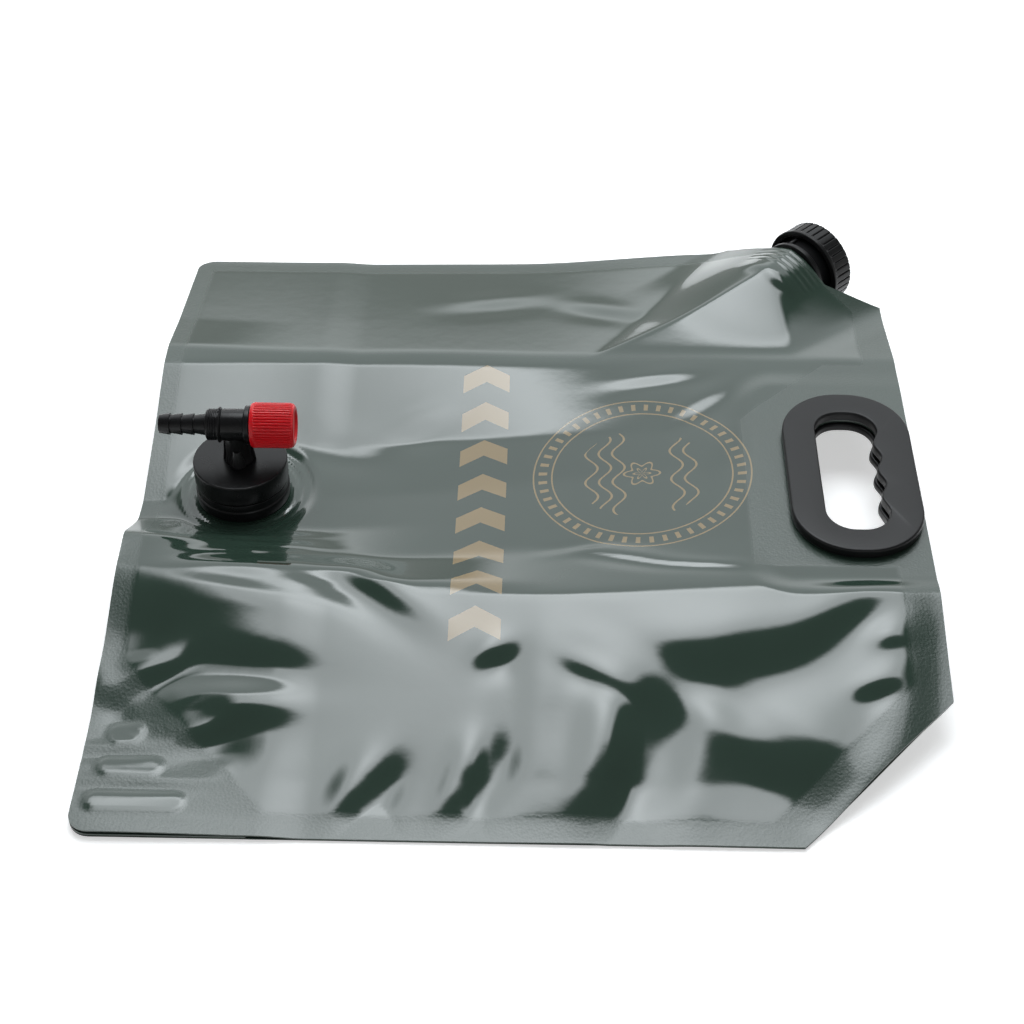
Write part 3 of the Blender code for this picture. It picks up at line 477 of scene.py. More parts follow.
class NodeTrees:
    """The Geometry Nodes trees that repeat or shape the small fittings, each built once."""

    def __init__(self) -> None:
        """Builds the trees."""
        self.fluted = self.fluted_wall()
        self.barbed = self.row_of_barbs()
        self.threaded = self.screw_thread()

    def start(self, name: str, labels: Sequence[str]) -> tuple[NodeTree, Node]:
        """Makes an empty tree with a geometry input and output, and a material input.

        Args:
            name: The tree's name.
            labels: Name of each further input, which takes a number.

        Returns:
            The tree and its input node.
        """
        tree = bpy.data.node_groups.new(name, "GeometryNodeTree")
        kinds = {"Geometry": "NodeSocketGeometry", "Material": "NodeSocketMaterial"}
        for label in ("Geometry", *labels, "Material"):
            kind = kinds.get(label, "NodeSocketFloat")
            tree.interface.new_socket(label, in_out="INPUT", socket_type=kind)
        tree.interface.new_socket("Geometry", in_out="OUTPUT", socket_type="NodeSocketGeometry")
        return tree, add(tree, "NodeGroupInput")

    def finish(self, tree: NodeTree, given: Node, geometry: object) -> None:
        """Ends a tree in Realize Instances and Set Material.

        Args:
            tree: The tree to end.
            given: The tree's input node.
            geometry: What the tree makes.
        """
        material = given.outputs["Material"]
        real = add(tree, "GeometryNodeRealizeInstances", (geometry,))
        dressed = add(tree, "GeometryNodeSetMaterial", {"Geometry": real, "Material": material})
        add(tree, "NodeGroupOutput", (dressed,))

    def join(self, tree: NodeTree, given: Node, more: Node) -> None:
        """Adds geometry to what the tree is given, and ends the tree.

        Args:
            tree: The tree to end.
            given: The tree's input node.
            more: The geometry to add.
        """
        both = add(tree, JOIN, (more,))
        tree.links.new(given.outputs["Geometry"], both.inputs[0])
        self.finish(tree, given, both)

    def fluted_wall(self) -> NodeTree:
        """Presses equal grooves along Z into the outer wall of a turned mesh.

        Returns:
            A tree with the inputs Count, Depth, Groove Share, Wall Radius, Low, High, Ease and Material.
        """
        labels = ("Count", "Depth", "Groove Share", "Wall Radius", "Low", "High", "Ease")
        tree, given = self.start("fluted_wall", labels)
        value = given.outputs
        place = add(tree, "GeometryNodeInputPosition")
        parts = add(tree, SPLIT, (place,))
        flat = add(tree, VECTOR, (place, (1.0, 1.0, 0.0)), operation="MULTIPLY")
        radius = add(tree, VECTOR, (flat,), operation="LENGTH")
        angle = add(tree, MATH, (parts.outputs["Y"], parts.outputs["X"]), operation="ARCTAN2")
        turns = add(tree, MATH, (angle, 2 * math.pi), operation="DIVIDE")
        pitch = add(tree, MATH, (turns, value["Count"]), operation="MULTIPLY")
        phase = add(tree, MATH, (pitch,), operation="FRACT")
        centred = add(tree, MATH, (phase, 0.5), operation="SUBTRACT")
        aside = add(tree, MATH, (centred,), operation="ABSOLUTE")
        share, low, high = value["Groove Share"], value["Low"], value["High"]
        groove = add(tree, RANGE, (aside, 0.0, share, 1.0, 0.0), interpolation_type="SMOOTHSTEP")
        low_end = add(tree, MATH, (low, value["Ease"]), operation="ADD")
        high_end = add(tree, MATH, (high, value["Ease"]), operation="SUBTRACT")
        height = parts.outputs["Z"]
        rise = add(tree, RANGE, (height, low, low_end, 0.0, 1.0), interpolation_type="SMOOTHSTEP")
        fall = add(tree, RANGE, (height, high_end, high, 1.0, 0.0), interpolation_type="SMOOTHSTEP")
        inner = add(tree, MATH, (value["Wall Radius"], FLUTED_SKIN), operation="SUBTRACT")
        sink = add(tree, MATH, (radius.outputs["Value"], inner), operation="GREATER_THAN")
        for factor in (rise, fall, groove, value["Depth"], -1.0):
            sink = add(tree, MATH, (sink, factor), operation="MULTIPLY")
        unit = add(tree, VECTOR, (flat,), operation="NORMALIZE")
        offset = add(tree, VECTOR, {0: unit, "Scale": sink}, operation="SCALE")
        moved = add(tree, "GeometryNodeSetPosition", {"Geometry": value["Geometry"], "Offset": offset})
        self.finish(tree, given, moved)
        return tree

    def row_of_barbs(self) -> NodeTree:
        """Sets a row of cones along Z on a tube.

        Returns:
            A tree with the inputs Barbs, Pitch, Thin Radius, Wide Radius, Start, Cone and Material.
        """
        labels = ("Barbs", "Pitch", "Thin Radius", "Wide Radius", "Start", "Cone")
        tree, given = self.start("row_of_barbs", labels)
        value = given.outputs
        start = add(tree, GATHER, {"Z": value["Start"]})
        step = add(tree, GATHER, {"Z": value["Pitch"]})
        spread = {"Count": value["Barbs"], "Start Location": start, "Offset": step}
        row = add(tree, "GeometryNodeMeshLine", spread)
        thin, wide = value["Thin Radius"], value["Wide Radius"]
        cones = []
        for bottom, top, depth in ((thin, wide, value["Cone"]), (wide, thin, STEP_LENGTH)):
            sizes = {"Vertices": 64, "Radius Top": top, "Radius Bottom": bottom, "Depth": depth}
            cones.append(add(tree, "GeometryNodeMeshCone", sizes, fill_type="NONE"))
        lift = add(tree, GATHER, {"Z": value["Cone"]})
        behind = add(tree, "GeometryNodeTransform", {"Geometry": cones[1], "Translation": lift})
        ring = add(tree, JOIN, (cones[0],))
        tree.links.new(behind.outputs[0], ring.inputs[0])
        welded = add(tree, "GeometryNodeMergeByDistance", {"Geometry": ring, "Distance": 0.001 * MM})
        barbs = add(tree, "GeometryNodeInstanceOnPoints", {"Points": row, "Instance": welded})
        self.join(tree, given, barbs)
        return tree

    def screw_thread(self) -> NodeTree:
        """Winds a round ridge about Z on a turned mesh.

        Returns:
            A tree with the inputs Turns, Radius, Height, Start, Ridge and Material.
        """
        tree, given = self.start("screw_thread", ("Turns", "Radius", "Height", "Start", "Ridge"))
        value = given.outputs
        coil = add(tree, "GeometryNodeCurveSpiral", {
            "Resolution": 48, "Rotations": value["Turns"], "Start Radius": value["Radius"],
            "End Radius": value["Radius"], "Height": value["Height"],
        })
        section = add(tree, "GeometryNodeCurvePrimitiveCircle", {"Resolution": 8, "Radius": value["Ridge"]})
        parts = {"Curve": coil, "Profile Curve": section, "Fill Caps": True}
        ridge = add(tree, "GeometryNodeCurveToMesh", parts)
        lift = add(tree, GATHER, {"Z": value["Start"]})
        placed = add(tree, "GeometryNodeTransform", {"Geometry": ridge, "Translation": lift})
        self.join(tree, given, add(tree, "GeometryNodeSetShadeSmooth", (placed,)))
        return tree


# Finishes


@dataclass(frozen=True)
class MouldedPlastic:
    """Injection-moulded polyethylene: an even satin with a fine spark-eroded grain and faint flow marks."""

    name: str
    colour: str
    roughness: float
    grain_size: float = 0.45 * MM
    grain_depth: float = 0.012 * MM
    specular: float = 0.5

    def material(self) -> Material:
        """Builds the material on Object coordinates.

        Returns:
            The material.
        """
        material, tree = new_material(self.name)
        place = add(tree, "ShaderNodeTexCoord").outputs["Object"]
        scale = 1 / self.grain_size
        grain = add(tree, NOISE, {"Vector": place, "Scale": scale, "Detail": 3.0, "Roughness": 0.6})
        flow = add(tree, NOISE, {"Vector": place, "Scale": 1 / (14 * MM), "Detail": 2.0})
        tone = add(tree, RANGE, {0: flow, 3: 0.9, 4: 1.12})
        colour = add(tree, VECTOR, {0: linear(self.colour)[:3], "Scale": tone}, operation="SCALE")
        gloss = add(tree, RANGE, {0: flow, 3: self.roughness - 0.04, 4: self.roughness + 0.05})
        bump = add(tree, BUMP, {"Strength": 1.0, "Distance": self.grain_depth, "Height": grain})
        shader = add(tree, SHADER, {
            "Base Color": colour, "Roughness": gloss, "Normal": bump, "IOR": 1.51,
            "Specular IOR Level": self.specular,
        })
        add(tree, SURFACE, {"Surface": shader})
        return material


@dataclass(frozen=True)
class SealRubber:
    """Moulded nitrile rubber: matt, nearly black, with a dusty bloom."""

    name: str
    colour: str
    bloom: str

    def material(self) -> Material:
        """Builds the material on Object coordinates.

        Returns:
            The material.
        """
        material, tree = new_material(self.name)
        place = add(tree, "ShaderNodeTexCoord").outputs["Object"]
        dust = add(tree, NOISE, {"Vector": place, "Scale": 1 / (1.8 * MM), "Detail": 4.0})
        ramp = add(tree, "ShaderNodeValToRGB", (dust,))
        ramp.color_ramp.elements[0].color = linear(self.colour)
        ramp.color_ramp.elements[1].color = linear(self.bloom)
        bump = add(tree, BUMP, {"Strength": 1.0, "Distance": 0.01 * MM, "Height": dust})
        shader = add(tree, SHADER, {"Base Color": ramp, "Roughness": 0.82, "Normal": bump, "IOR": 1.52})
        add(tree, SURFACE, {"Surface": shader})
        return material


@dataclass(frozen=True)
class PrintSizes:
    """Where the generic print lies on the front wall, in metres."""

    column_x: float = -0.0225
    column_half_width: float = 0.0125
    column_low: float = -0.112
    column_high: float = 0.090
    column_pitch: float = 0.0260
    column_slant: float = 0.62
    stripe_share: float = 0.46
    emblem_x: float = 0.060
    emblem_y: float = 0.006
    ring_inner: float = 0.049
    ring_outer: float = 0.0535
    ring_ticks: int = 48
    tick_share: float = 0.34
    circles: Point2 = (0.0465, 0.056)
    line: float = 0.0006
    thin_line: float = 0.00042
    wave_places: tuple[float, ...] = (-0.026, -0.019, -0.012, 0.018, 0.025)
    wave_pitch: float = 0.022
    wave_height: float = 0.0032
    wave_reach: float = 0.034
    lobes: float = 6.0
    lobe_height: float = 0.0018
    rosette_radius: float = 0.0075
    rosette_eye: float = 0.0025


@dataclass(frozen=True)
class LaminatedFilm:
    """Extruded polyethylene under a clear polyester layer: dark green, glossy, with a slight orange peel.

    The welded seals carry the waffle of the sealing bars, and the print lies under the gloss.
    """

    name: str
    colour: str
    deep: str
    ink: str
    printed: bool
    sizes: PrintSizes = PrintSizes()

    def column(self, tree: NodeTree, across: object, along: object) -> Node:
        """Draws the long column of chevrons: 1 on the ink.

        Args:
            tree: The material's tree.
            across: X on the sheet, in metres.
            along: Y on the sheet, in metres.

        Returns:
            The node with the ink's share.
        """
        size = self.sizes
        from_middle = add(tree, MATH, (across, size.column_x), operation="SUBTRACT")
        aside = add(tree, MATH, (from_middle,), operation="ABSOLUTE")
        bent = add(tree, MATH, (aside, size.column_slant, along), operation="MULTIPLY_ADD")
        pitches = add(tree, MATH, (bent, size.column_pitch), operation="DIVIDE")
        phase = add(tree, MATH, (pitches,), operation="FRACT")
        chevron = add(tree, MATH, (phase, size.stripe_share), operation="LESS_THAN")
        wide = add(tree, MATH, (aside, size.column_half_width), operation="LESS_THAN")
        middle = (size.column_low + size.column_high) / 2
        half = (size.column_high - size.column_low) / 2
        tall = add(tree, MATH, (along, middle, half), operation="COMPARE")
        inside = add(tree, MATH, (wide, tall), operation="MULTIPLY")
        return add(tree, MATH, (inside, chevron), operation="MULTIPLY")

    def ring(self, tree: NodeTree, radius: object, angle: object) -> Node:
        """Draws the ring of ticks between two thin circles: 1 on the ink.

        Args:
            tree: The material's tree.
            radius: Distance from the emblem's middle.
            angle: Direction from the emblem's middle.

        Returns:
            The node with the ink's share.
        """
        size = self.sizes
        turns = add(tree, MATH, (angle, size.ring_ticks / (2 * math.pi)), operation="MULTIPLY")
        phase = add(tree, MATH, (turns,), operation="FRACT")
        tick = add(tree, MATH, (phase, 0.5, size.tick_share / 2), operation="COMPARE")
        middle = (size.ring_inner + size.ring_outer) / 2
        half = (size.ring_outer - size.ring_inner) / 2
        band = add(tree, MATH, (radius, middle, half), operation="COMPARE")
        total = add(tree, MATH, (tick, band), operation="MULTIPLY")
        for circle_radius in size.circles:
            circle = add(tree, MATH, (radius, circle_radius, size.thin_line), operation="COMPARE")
            total = add(tree, MATH, (total, circle), operation="MAXIMUM")
        return total

    def waves(self, tree: NodeTree, east: object, north: object, radius: object) -> Node:
        """Draws the waves on both sides of the rosette: 1 on the ink.

        Args:
            tree: The material's tree.
            east: X from the emblem's middle.
            north: Y from the emblem's middle.
            radius: Distance from the emblem's middle.

        Returns:
            The node with the ink's share.
        """
        size = self.sizes
        swing = add(tree, MATH, (north, 2 * math.pi / size.wave_pitch), operation="MULTIPLY")
        sine = add(tree, MATH, (swing,), operation="SINE")
        level = add(tree, MATH, (sine, -size.wave_height, east), operation="MULTIPLY_ADD")
        total = 0.0
        for place in size.wave_places:
            line = add(tree, MATH, (level, place, size.line), operation="COMPARE")
            total = add(tree, MATH, (total, line), operation="MAXIMUM")
        near = add(tree, MATH, (radius, size.wave_reach), operation="LESS_THAN")
        return add(tree, MATH, (total, near), operation="MULTIPLY")

    def rosette(self, tree: NodeTree, radius: object, angle: object) -> Node:
        """Draws the lobed outline in the emblem's middle: 1 on the ink.

        Args:
            tree: The material's tree.
            radius: Distance from the emblem's middle.
            angle: Direction from the emblem's middle.

        Returns:
            The node with the ink's share.
        """
        size = self.sizes
        turns = add(tree, MATH, (angle, size.lobes), operation="MULTIPLY")
        lobe = add(tree, MATH, (turns,), operation="COSINE")
        shrunk = add(tree, MATH, (lobe, -size.lobe_height, radius), operation="MULTIPLY_ADD")
        outer = add(tree, MATH, (shrunk, size.rosette_radius, size.line), operation="COMPARE")
        inner = add(tree, MATH, (shrunk, size.rosette_eye, size.line), operation="COMPARE")
        return add(tree, MATH, (outer, inner), operation="MAXIMUM")

    def print_mask(self, tree: NodeTree, across: object, along: object) -> Node:
        """Draws the whole print.

        Args:
            tree: The material's tree.
            across: X on the sheet, in metres.
            along: Y on the sheet, in metres.

        Returns:
            The node that is 1 on the ink.
        """
        east = add(tree, MATH, (across, self.sizes.emblem_x), operation="SUBTRACT")
        north = add(tree, MATH, (along, self.sizes.emblem_y), operation="SUBTRACT")
        spot = add(tree, GATHER, {"X": east, "Y": north})
        radius = add(tree, VECTOR, (spot,), operation="LENGTH").outputs["Value"]
        angle = add(tree, MATH, (north, east), operation="ARCTAN2")
        total = self.column(tree, across, along)
        ring, rosette = self.ring(tree, radius, angle), self.rosette(tree, radius, angle)
        for motif in (ring, rosette, self.waves(tree, east, north, radius)):
            total = add(tree, MATH, (total, motif), operation="MAXIMUM")
        return total

    def material(self) -> Material:
        """Builds the material on the film's own flat map and seal attribute.

        Returns:
            The material.
        """
        material, tree = new_material(self.name)
        flat = add(tree, "ShaderNodeUVMap", uv_map="sheet")
        parts = add(tree, SPLIT, (flat,))
        seal = add(tree, "ShaderNodeAttribute", attribute_name="seal").outputs["Fac"]
        tint = add(tree, NOISE, {"Vector": flat, "Scale": 1 / (60 * MM), "Detail": 2.0})
        layers = [(tint, self.colour)]
        if self.printed:
            layers.append((self.print_mask(tree, parts.outputs["X"], parts.outputs["Y"]), self.ink))
        colour = linear(self.deep)
        for share, tone in layers:
            blend = {0: share, 6: colour, 7: linear(tone)}
            colour = add(tree, "ShaderNodeMix", blend, data_type="RGBA").outputs[2]
        peel = add(tree, NOISE, {"Vector": flat, "Scale": 1 / (9 * MM), "Detail": 3.0})
        skin = add(tree, BUMP, {"Strength": 1.0, "Distance": 0.035 * MM, "Height": peel})
        lattice = add(tree, "ShaderNodeTexVoronoi", {"Vector": flat, "Scale": 1 / (1.3 * MM)}, feature="F1")
        pressed = add(tree, MATH, (lattice, seal), operation="MULTIPLY")
        press = {"Strength": 1.0, "Distance": 0.07 * MM, "Height": pressed, "Normal": skin}
        waffle = add(tree, BUMP, press)
        gloss = add(tree, RANGE, {0: seal, 3: 0.08, 4: 0.34})
        shader = add(tree, SHADER, {
            "Base Color": colour, "Roughness": gloss, "Normal": waffle, "IOR": 1.52,
            "Specular IOR Level": 0.5, "Coat Weight": 0.35, "Coat Roughness": 0.04, "Coat IOR": 1.55,
            "Coat Normal": skin,
        })
        add(tree, SURFACE, {"Surface": shader})
        return material


class Finishes:
    """Every finish of the carrier, built once."""

    def __init__(self) -> None:
        """Builds the materials."""
        green = ("#2F4138", "#28382F", "#84724F")
        self.front_film = LaminatedFilm("green_film_printed", *green, True).material()
        self.back_film = LaminatedFilm("green_film_plain", *green, False).material()
        self.black = MouldedPlastic("black_polyethylene", "#151516", 0.28, specular=0.22).material()
        handle = MouldedPlastic("black_handle_polyethylene", "#131314", 0.34, 0.6 * MM, 0.02 * MM, 0.24)
        self.handle = handle.material()
        self.red = MouldedPlastic("red_polyethylene", "#D0121D", 0.30, specular=0.34).material()
        self.rubber = SealRubber("black_nitrile_rubber", "#161616", "#1F1F20").material()


# The film bag


@dataclass(frozen=True)
class Tilt:
    """A place where a wrinkle tilts the film, measured in millimetres from the bag's middle.

    The film rises along the tilt's own axis by the given degrees at its middle, and falls back on both sides.
    """

    x: float
    y: float
    half_length: float
    half_width: float
    turn: float
    degrees: float

    def height(self, x: Array, y: Array) -> Array:
        """Height that the tilt adds, in metres.

        Args:
            x: The points' X.
            y: The points' Y.

        Returns:
            The added height at each point.
        """
        angle = math.radians(self.turn)
        east = x / MM - self.x
        north = y / MM - self.y
        u = (east * math.cos(angle) + north * math.sin(angle)) / self.half_length
        v = (north * math.cos(angle) - east * math.sin(angle)) / self.half_width
        peak = math.tan(math.radians(self.degrees)) * self.half_width * MM
        return peak * v * np.exp(-(u * u + v * v) / 2)


TILTS = (
    # Broad hollow beside the tap, under the near ridge, and the bright tongue in it
    Tilt(-158, -100, 38, 20, -14, 12),
    Tilt(-140, -80, 30, 6, -12, -8),
    # Bright fold under the hollow
    Tilt(-150, -124, 34, 7, -12, -6),
    # Pair of small dents at the folded gusset, each with a bright middle
    Tilt(-138, -137, 26, 15, -4, 13),
    Tilt(-134, -136, 22, 10, -4, -24),
    Tilt(-171, -128, 13, 9, 26, 17),
    Tilt(-165, -132, 9, 5, 24, -9),
    Tilt(-144, -158, 16, 12, 4, 16),
    Tilt(-148, -153, 9, 6, 10, -17),
    Tilt(-150, -152, 14, 10, 90, 5),
    # Slanting nick at the near ridge, in two lobes
    Tilt(-72, -82, 22, 8, -40, 16),
    Tilt(-92, -72, 14, 6, -14, 14),
    # Small smudge beside the long print
    Tilt(-12, -120, 7, 6, 40, 14),
    # Two short upright dents near the front edge
    Tilt(-16, -174, 10, 8, 82, 15),
    Tilt(-23, -192, 10, 7, 76, 18),
    Tilt(-68, -190, 13, 8, 66, 20),
    # Long bent dent in the middle, with the bright fold on its left
    Tilt(36, -132, 13, 5, -30, 10),
    Tilt(50, -160, 17, 12, 86, 20),
    Tilt(42, -188, 14, 10, 80, 20),
    Tilt(2, -146, 24, 9, 86, -9),
    Tilt(12, -168, 14, 22, 0, -3.4),
    # Long slanting hollow on the right, from the ridge's right end
    Tilt(108, -118, 30, 17, 14, 10),
    Tilt(158, -96, 24, 10, 34, 11),
    # Round hollow before the slanted corner, and the bright folds on both sides of it
    Tilt(130, -179, 22, 16, -34, 10),
    Tilt(78, -168, 26, 9, 78, -8),
    Tilt(82, -140, 34, 8, -36, -6),
    Tilt(160, -168, 26, 9, 60, -9),
    # Dents at the loose welded rim on the right
    Tilt(186, -124, 30, 12, 82, 14),
    Tilt(150, -200, 14, 5, 44, 9),
    Tilt(174, -113, 8, 6, 16, 10),
    Tilt(165, -138, 8, 5, 20, 10),
    # Corner seal, pressed flat, and its ripples between the pressed marks
    Tilt(-182, -180, 30, 26, 0, -5),
    Tilt(-168, -208, 40, 12, 0, -3),
    Tilt(-184, -169, 12, 3, 2, 13),
    Tilt(-170, -188, 18, 3, 0, 13),
    Tilt(-192, -140, 5, 10, 30, 10),
    # Loose edge of the bright field behind the tap
    Tilt(-96, 36, 18, 9, -18, 7),
    Tilt(-58, 48, 15, 8, 24, 6),
    Tilt(-128, 44, 12, 7, 14, -6),
    # Fine folds in front of the tap
    Tilt(-134, -37, 18, 2.4, 4, 12),
    Tilt(-126, -45, 20, 2.2, -4, 12),
    Tilt(-138, -54, 18, 2.4, 5, 12),
    # Small folds behind the near ridge, in its middle and at its right end
    Tilt(50, -58, 16, 4, -14, 13),
    Tilt(26, -50, 12, 3, 8, -9),
    Tilt(88, -66, 18, 3, -6, 10),
    # Faint dips of the loose film behind the emblem and towards the handle
    Tilt(96, 60, 16, 6, 40, 8),
    Tilt(70, 78, 18, 5, 10, 8),
    Tilt(110, 30, 16, 7, 70, 6),
    # Faint dips of the far panel
    Tilt(-20, 160, 20, 8, 12, 5),
    Tilt(40, 150, 16, 7, -20, 6),
)


SEAL_DEPTH = 0.12 * MM
MARK_STEP = 4.0
MARK_HEIGHT = 0.6 * MM


@dataclass(frozen=True)
class PressedMark:
    """A long rounded mark pressed up in the corner seal, in millimetres from the bag's middle."""

    x: float
    y: float
    half_length: float
    radius: float

    def share(self, x: Array, y: Array) -> Array:
        """1 on the mark and 0 beside it, over a soft step."""
        beyond = np.maximum(0, np.abs(x / MM - self.x) - self.half_length)
        return ease((self.radius - np.hypot(beyond, y / MM - self.y)) / MARK_STEP + 0.5)


PRESSED_MARKS = (
    PressedMark(-182, -159, 2.5, 6.0),
    PressedMark(-177, -178, 9.5, 5.5),
    PressedMark(-172, -198, 17.0, 5.5),
)


class Relief:
    """Heights on an even grid, read between its points."""

    def __init__(self, half_x: float, half_y: float, pitch: float, height: HeightOf) -> None:
        """Samples a height rule.

        Args:
            half_x: Half the grid's reach in X.
            half_y: Half its reach in Y.
            pitch: Distance between its points.
            height: The rule.
        """
        self.pitch = pitch
        self.x = np.arange(-half_x, half_x + pitch / 2, pitch)
        self.y = np.arange(-half_y, half_y + pitch / 2, pitch)
        grid_x, grid_y = np.meshgrid(self.x, self.y)
        self.set(height(grid_x, grid_y))

    def set(self, values: Array) -> None:
        """Keeps new heights and their slopes."""
        self.z = values
        self.slope_y, self.slope_x = np.gradient(values, self.pitch)

    def softened(self, reach_x: float, reach_y: float) -> Array:
        """Heights with their corners eased.

        Args:
            reach_x: Spread of the easing in X.
            reach_y: Spread of the easing in Y.

        Returns:
            The eased heights.
        """
        def spread(places: Array, reach: float) -> Array:
            """Weights that ease one axis."""
            weights = np.exp(-((places[:, None] - places[None, :]) / reach) ** 2 / 2)
            return weights / weights.sum(axis=1, keepdims=True)

        return spread(self.y, reach_y) @ self.z @ spread(self.x, reach_x).T

    def read(self, values: Array, x: Array, y: Array) -> Array:
        """Reads grid values at any points.

        Args:
            values: Values on the grid.
            x: The points' X.
            y: The points' Y.

        Returns:
            The values there.
        """
        # A point on the last line still reads from the cell before it
        across = np.clip((x - self.x[0]) / self.pitch, 0, len(self.x) - 1.001)
        along = np.clip((y - self.y[0]) / self.pitch, 0, len(self.y) - 1.001)
        column, row = across.astype(int), along.astype(int)
        right, up = across - column, along - row
        low = values[row, column] * (1 - right) + values[row, column + 1] * right
        high = values[row + 1, column] * (1 - right) + values[row + 1, column + 1] * right
        return low * (1 - up) + high * up

    def height(self, x: Array, y: Array) -> Array:
        """Heights at any points."""
        return self.read(self.z, x, y)

    def normal(self, x: Array, y: Array) -> Array:
        """Upward unit normals at any points.

        Args:
            x: The points' X.
            y: The points' Y.

        Returns:
            The normal at each point.
        """
        slope_x, slope_y = self.read(self.slope_x, x, y), self.read(self.slope_y, x, y)
        upward = np.stack((-slope_x, -slope_y, np.ones_like(x)), -1)
        return upward / np.linalg.norm(upward, axis=-1, keepdims=True)


@dataclass
class Ply:
    """One layer of the bag: what its three panels share."""

    name: str
    node: str
    slot: str
    material: Material
    right: float
    pitch: float
    holes: list[list[Point2]]
    top: HeightOf
    bottom: HeightOf
    normal: HeightOf
    fine_weld: bool = False


@dataclass
class FilmBag:
    """The bag's two walls and folded bottom gusset, each in the three panels between the creases."""

    finishes: Finishes
    length: float = 0.400
    width: float = 0.430
    film: float = 0.0005
    ply_gap: float = 0.0004
    gusset_plies: float = 0.0010
    crest: float = 0.027
    corner_radius: float = 0.010
    near_chamfer: float = 0.073
    far_chamfer_x: float = 0.083
    far_chamfer_y: float = 0.061
    near_crease: float = -0.070
    far_crease: float = 0.096
    gusset_fold: float = -0.120
    gusset_ease: float = 0.024
    gusset_lap: float = 0.003
    finger_hole_size: Point2 = (0.0342, 0.0902)
    finger_hole_corner: float = 0.015
    tap_hole_radius: float = 0.0204
    tap_hole_steps: int = 64
    handle_height: float = 0.0275
    handle_flat: float = 0.012
    handle_ease: float = 0.016
    tap_ease: float = 0.011
    tap_stack: float = 0.0061
    tap_rings: tuple[float, ...] = (0.0272, 0.0320)
    tap_ring_width: float = 0.0012
    tap_ring_height: float = 0.0007
    spout_notch: float = 0.024
    weld_lap: float = 0.003
    weld_ease: float = 0.004
    weld_overlap: float = 0.03 * MM
    swell: float = 0.0175
    swell_half: float = 0.031
    swell_reach: float = 0.028
    swell_blend: float = 0.05
    weld_rib_pitch: float = 0.0042
    weld_rib_height: float = 0.00022
    lift_half: float = 0.066
    lift_reach: float = 0.070
    tent_apex: Point2 = (0.136, 0.161)
    tent_feet: tuple[Point2, ...] = ((0.110, 0.215), (0.036, 0.099), (0.146, 0.101), (0.200, 0.150))
    tent_softness: float = 0.02
    front_pitch: float = 0.0016
    back_pitch: float = 0.0040
    bend: float = 0.016
    crease_ease: float = 0.006
    grid_pitch: float = 0.001
    grid_margin: float = 0.004
    course_ease: Point2 = (0.016, 0.0022)
    pad_left: float = 0.112
    pad_far: float = 0.045
    pad_near: float = -0.066
    pad_slant: Point2 = (0.042, 0.043)
    pad_margin: float = 0.004
    corner_seal: Point2 = (-0.183, -0.125)
    corner_slant: Point2 = (0.078, 0.070)
    seal_step: float = 0.0032
    side_seal: float = 0.013
    bottom_seal: float = 0.010
    top_seal: float = 0.018
    chamfer_seal: float = 0.018

    # Points across the bag at six stations along it: shares of the half width and of the crest's height
    courses = (
        (-1.00, (
            (-1.00, 0.00), (-0.86, 0.02), (-0.70, 0.09), (-0.41, 0.50), (-0.20, 0.80), (-0.07, 0.05),
            (0.00, 0.00), (0.25, 0.50), (0.41, 0.86), (0.49, 0.85), (0.64, 0.54), (1.00, 0.00),
        )),
        (-0.65, (
            (-1.00, 0.00), (-0.95, 0.00), (-0.86, 0.08), (-0.62, 0.41), (-0.44, 0.66), (-0.31, 0.84),
            (-0.12, 0.17), (0.19, 0.17), (0.30, 0.42), (0.43, 0.74), (0.48, 0.75), (0.65, 0.51), (1.00, 0.00),
        )),
        (-0.30, (
            (-1.00, 0.00), (-0.95, 0.02), (-0.86, 0.13), (-0.64, 0.46), (-0.47, 0.72), (-0.36, 0.88),
            (-0.24, 0.50), (0.00, 0.38), (0.18, 0.43), (0.42, 0.88), (0.47, 0.90), (0.66, 0.60), (1.00, 0.05),
        )),
        (0.05, (
            (-1.00, 0.00), (-0.95, 0.03), (-0.86, 0.15), (-0.66, 0.52), (-0.50, 0.79), (-0.40, 0.94),
            (-0.22, 0.70), (0.02, 0.64), (0.18, 0.67), (0.42, 0.94), (0.46, 0.93), (0.66, 0.62), (1.00, 0.10),
        )),
        (0.52, (
            (-1.00, 0.02), (-0.95, 0.06), (-0.86, 0.19), (-0.68, 0.55), (-0.52, 0.84), (-0.38, 1.06),
            (-0.20, 1.00), (0.04, 0.94), (0.22, 0.92), (0.37, 0.96), (0.45, 0.98), (0.66, 0.77), (1.00, 0.46),
        )),
        (1.00, (
            (-1.00, 0.06), (-0.66, 0.66), (-0.44, 1.06), (-0.34, 1.22), (-0.20, 1.12), (0.04, 1.02),
            (0.22, 0.98), (0.38, 1.00), (0.45, 1.00), (0.60, 0.78), (1.00, 0.20),
        )),
    )

    def __post_init__(self) -> None:
        """Works out the course of both walls."""
        grid = (self.length / 2 + self.grid_margin, self.width / 2 + self.grid_margin, self.grid_pitch)
        self.course = Relief(*grid, self.plain_course)
        self.course.set(self.course.softened(*self.course_ease))
        self.front = Relief(*grid, self.front_height)
        self.back = Relief(*grid, self.back_height)

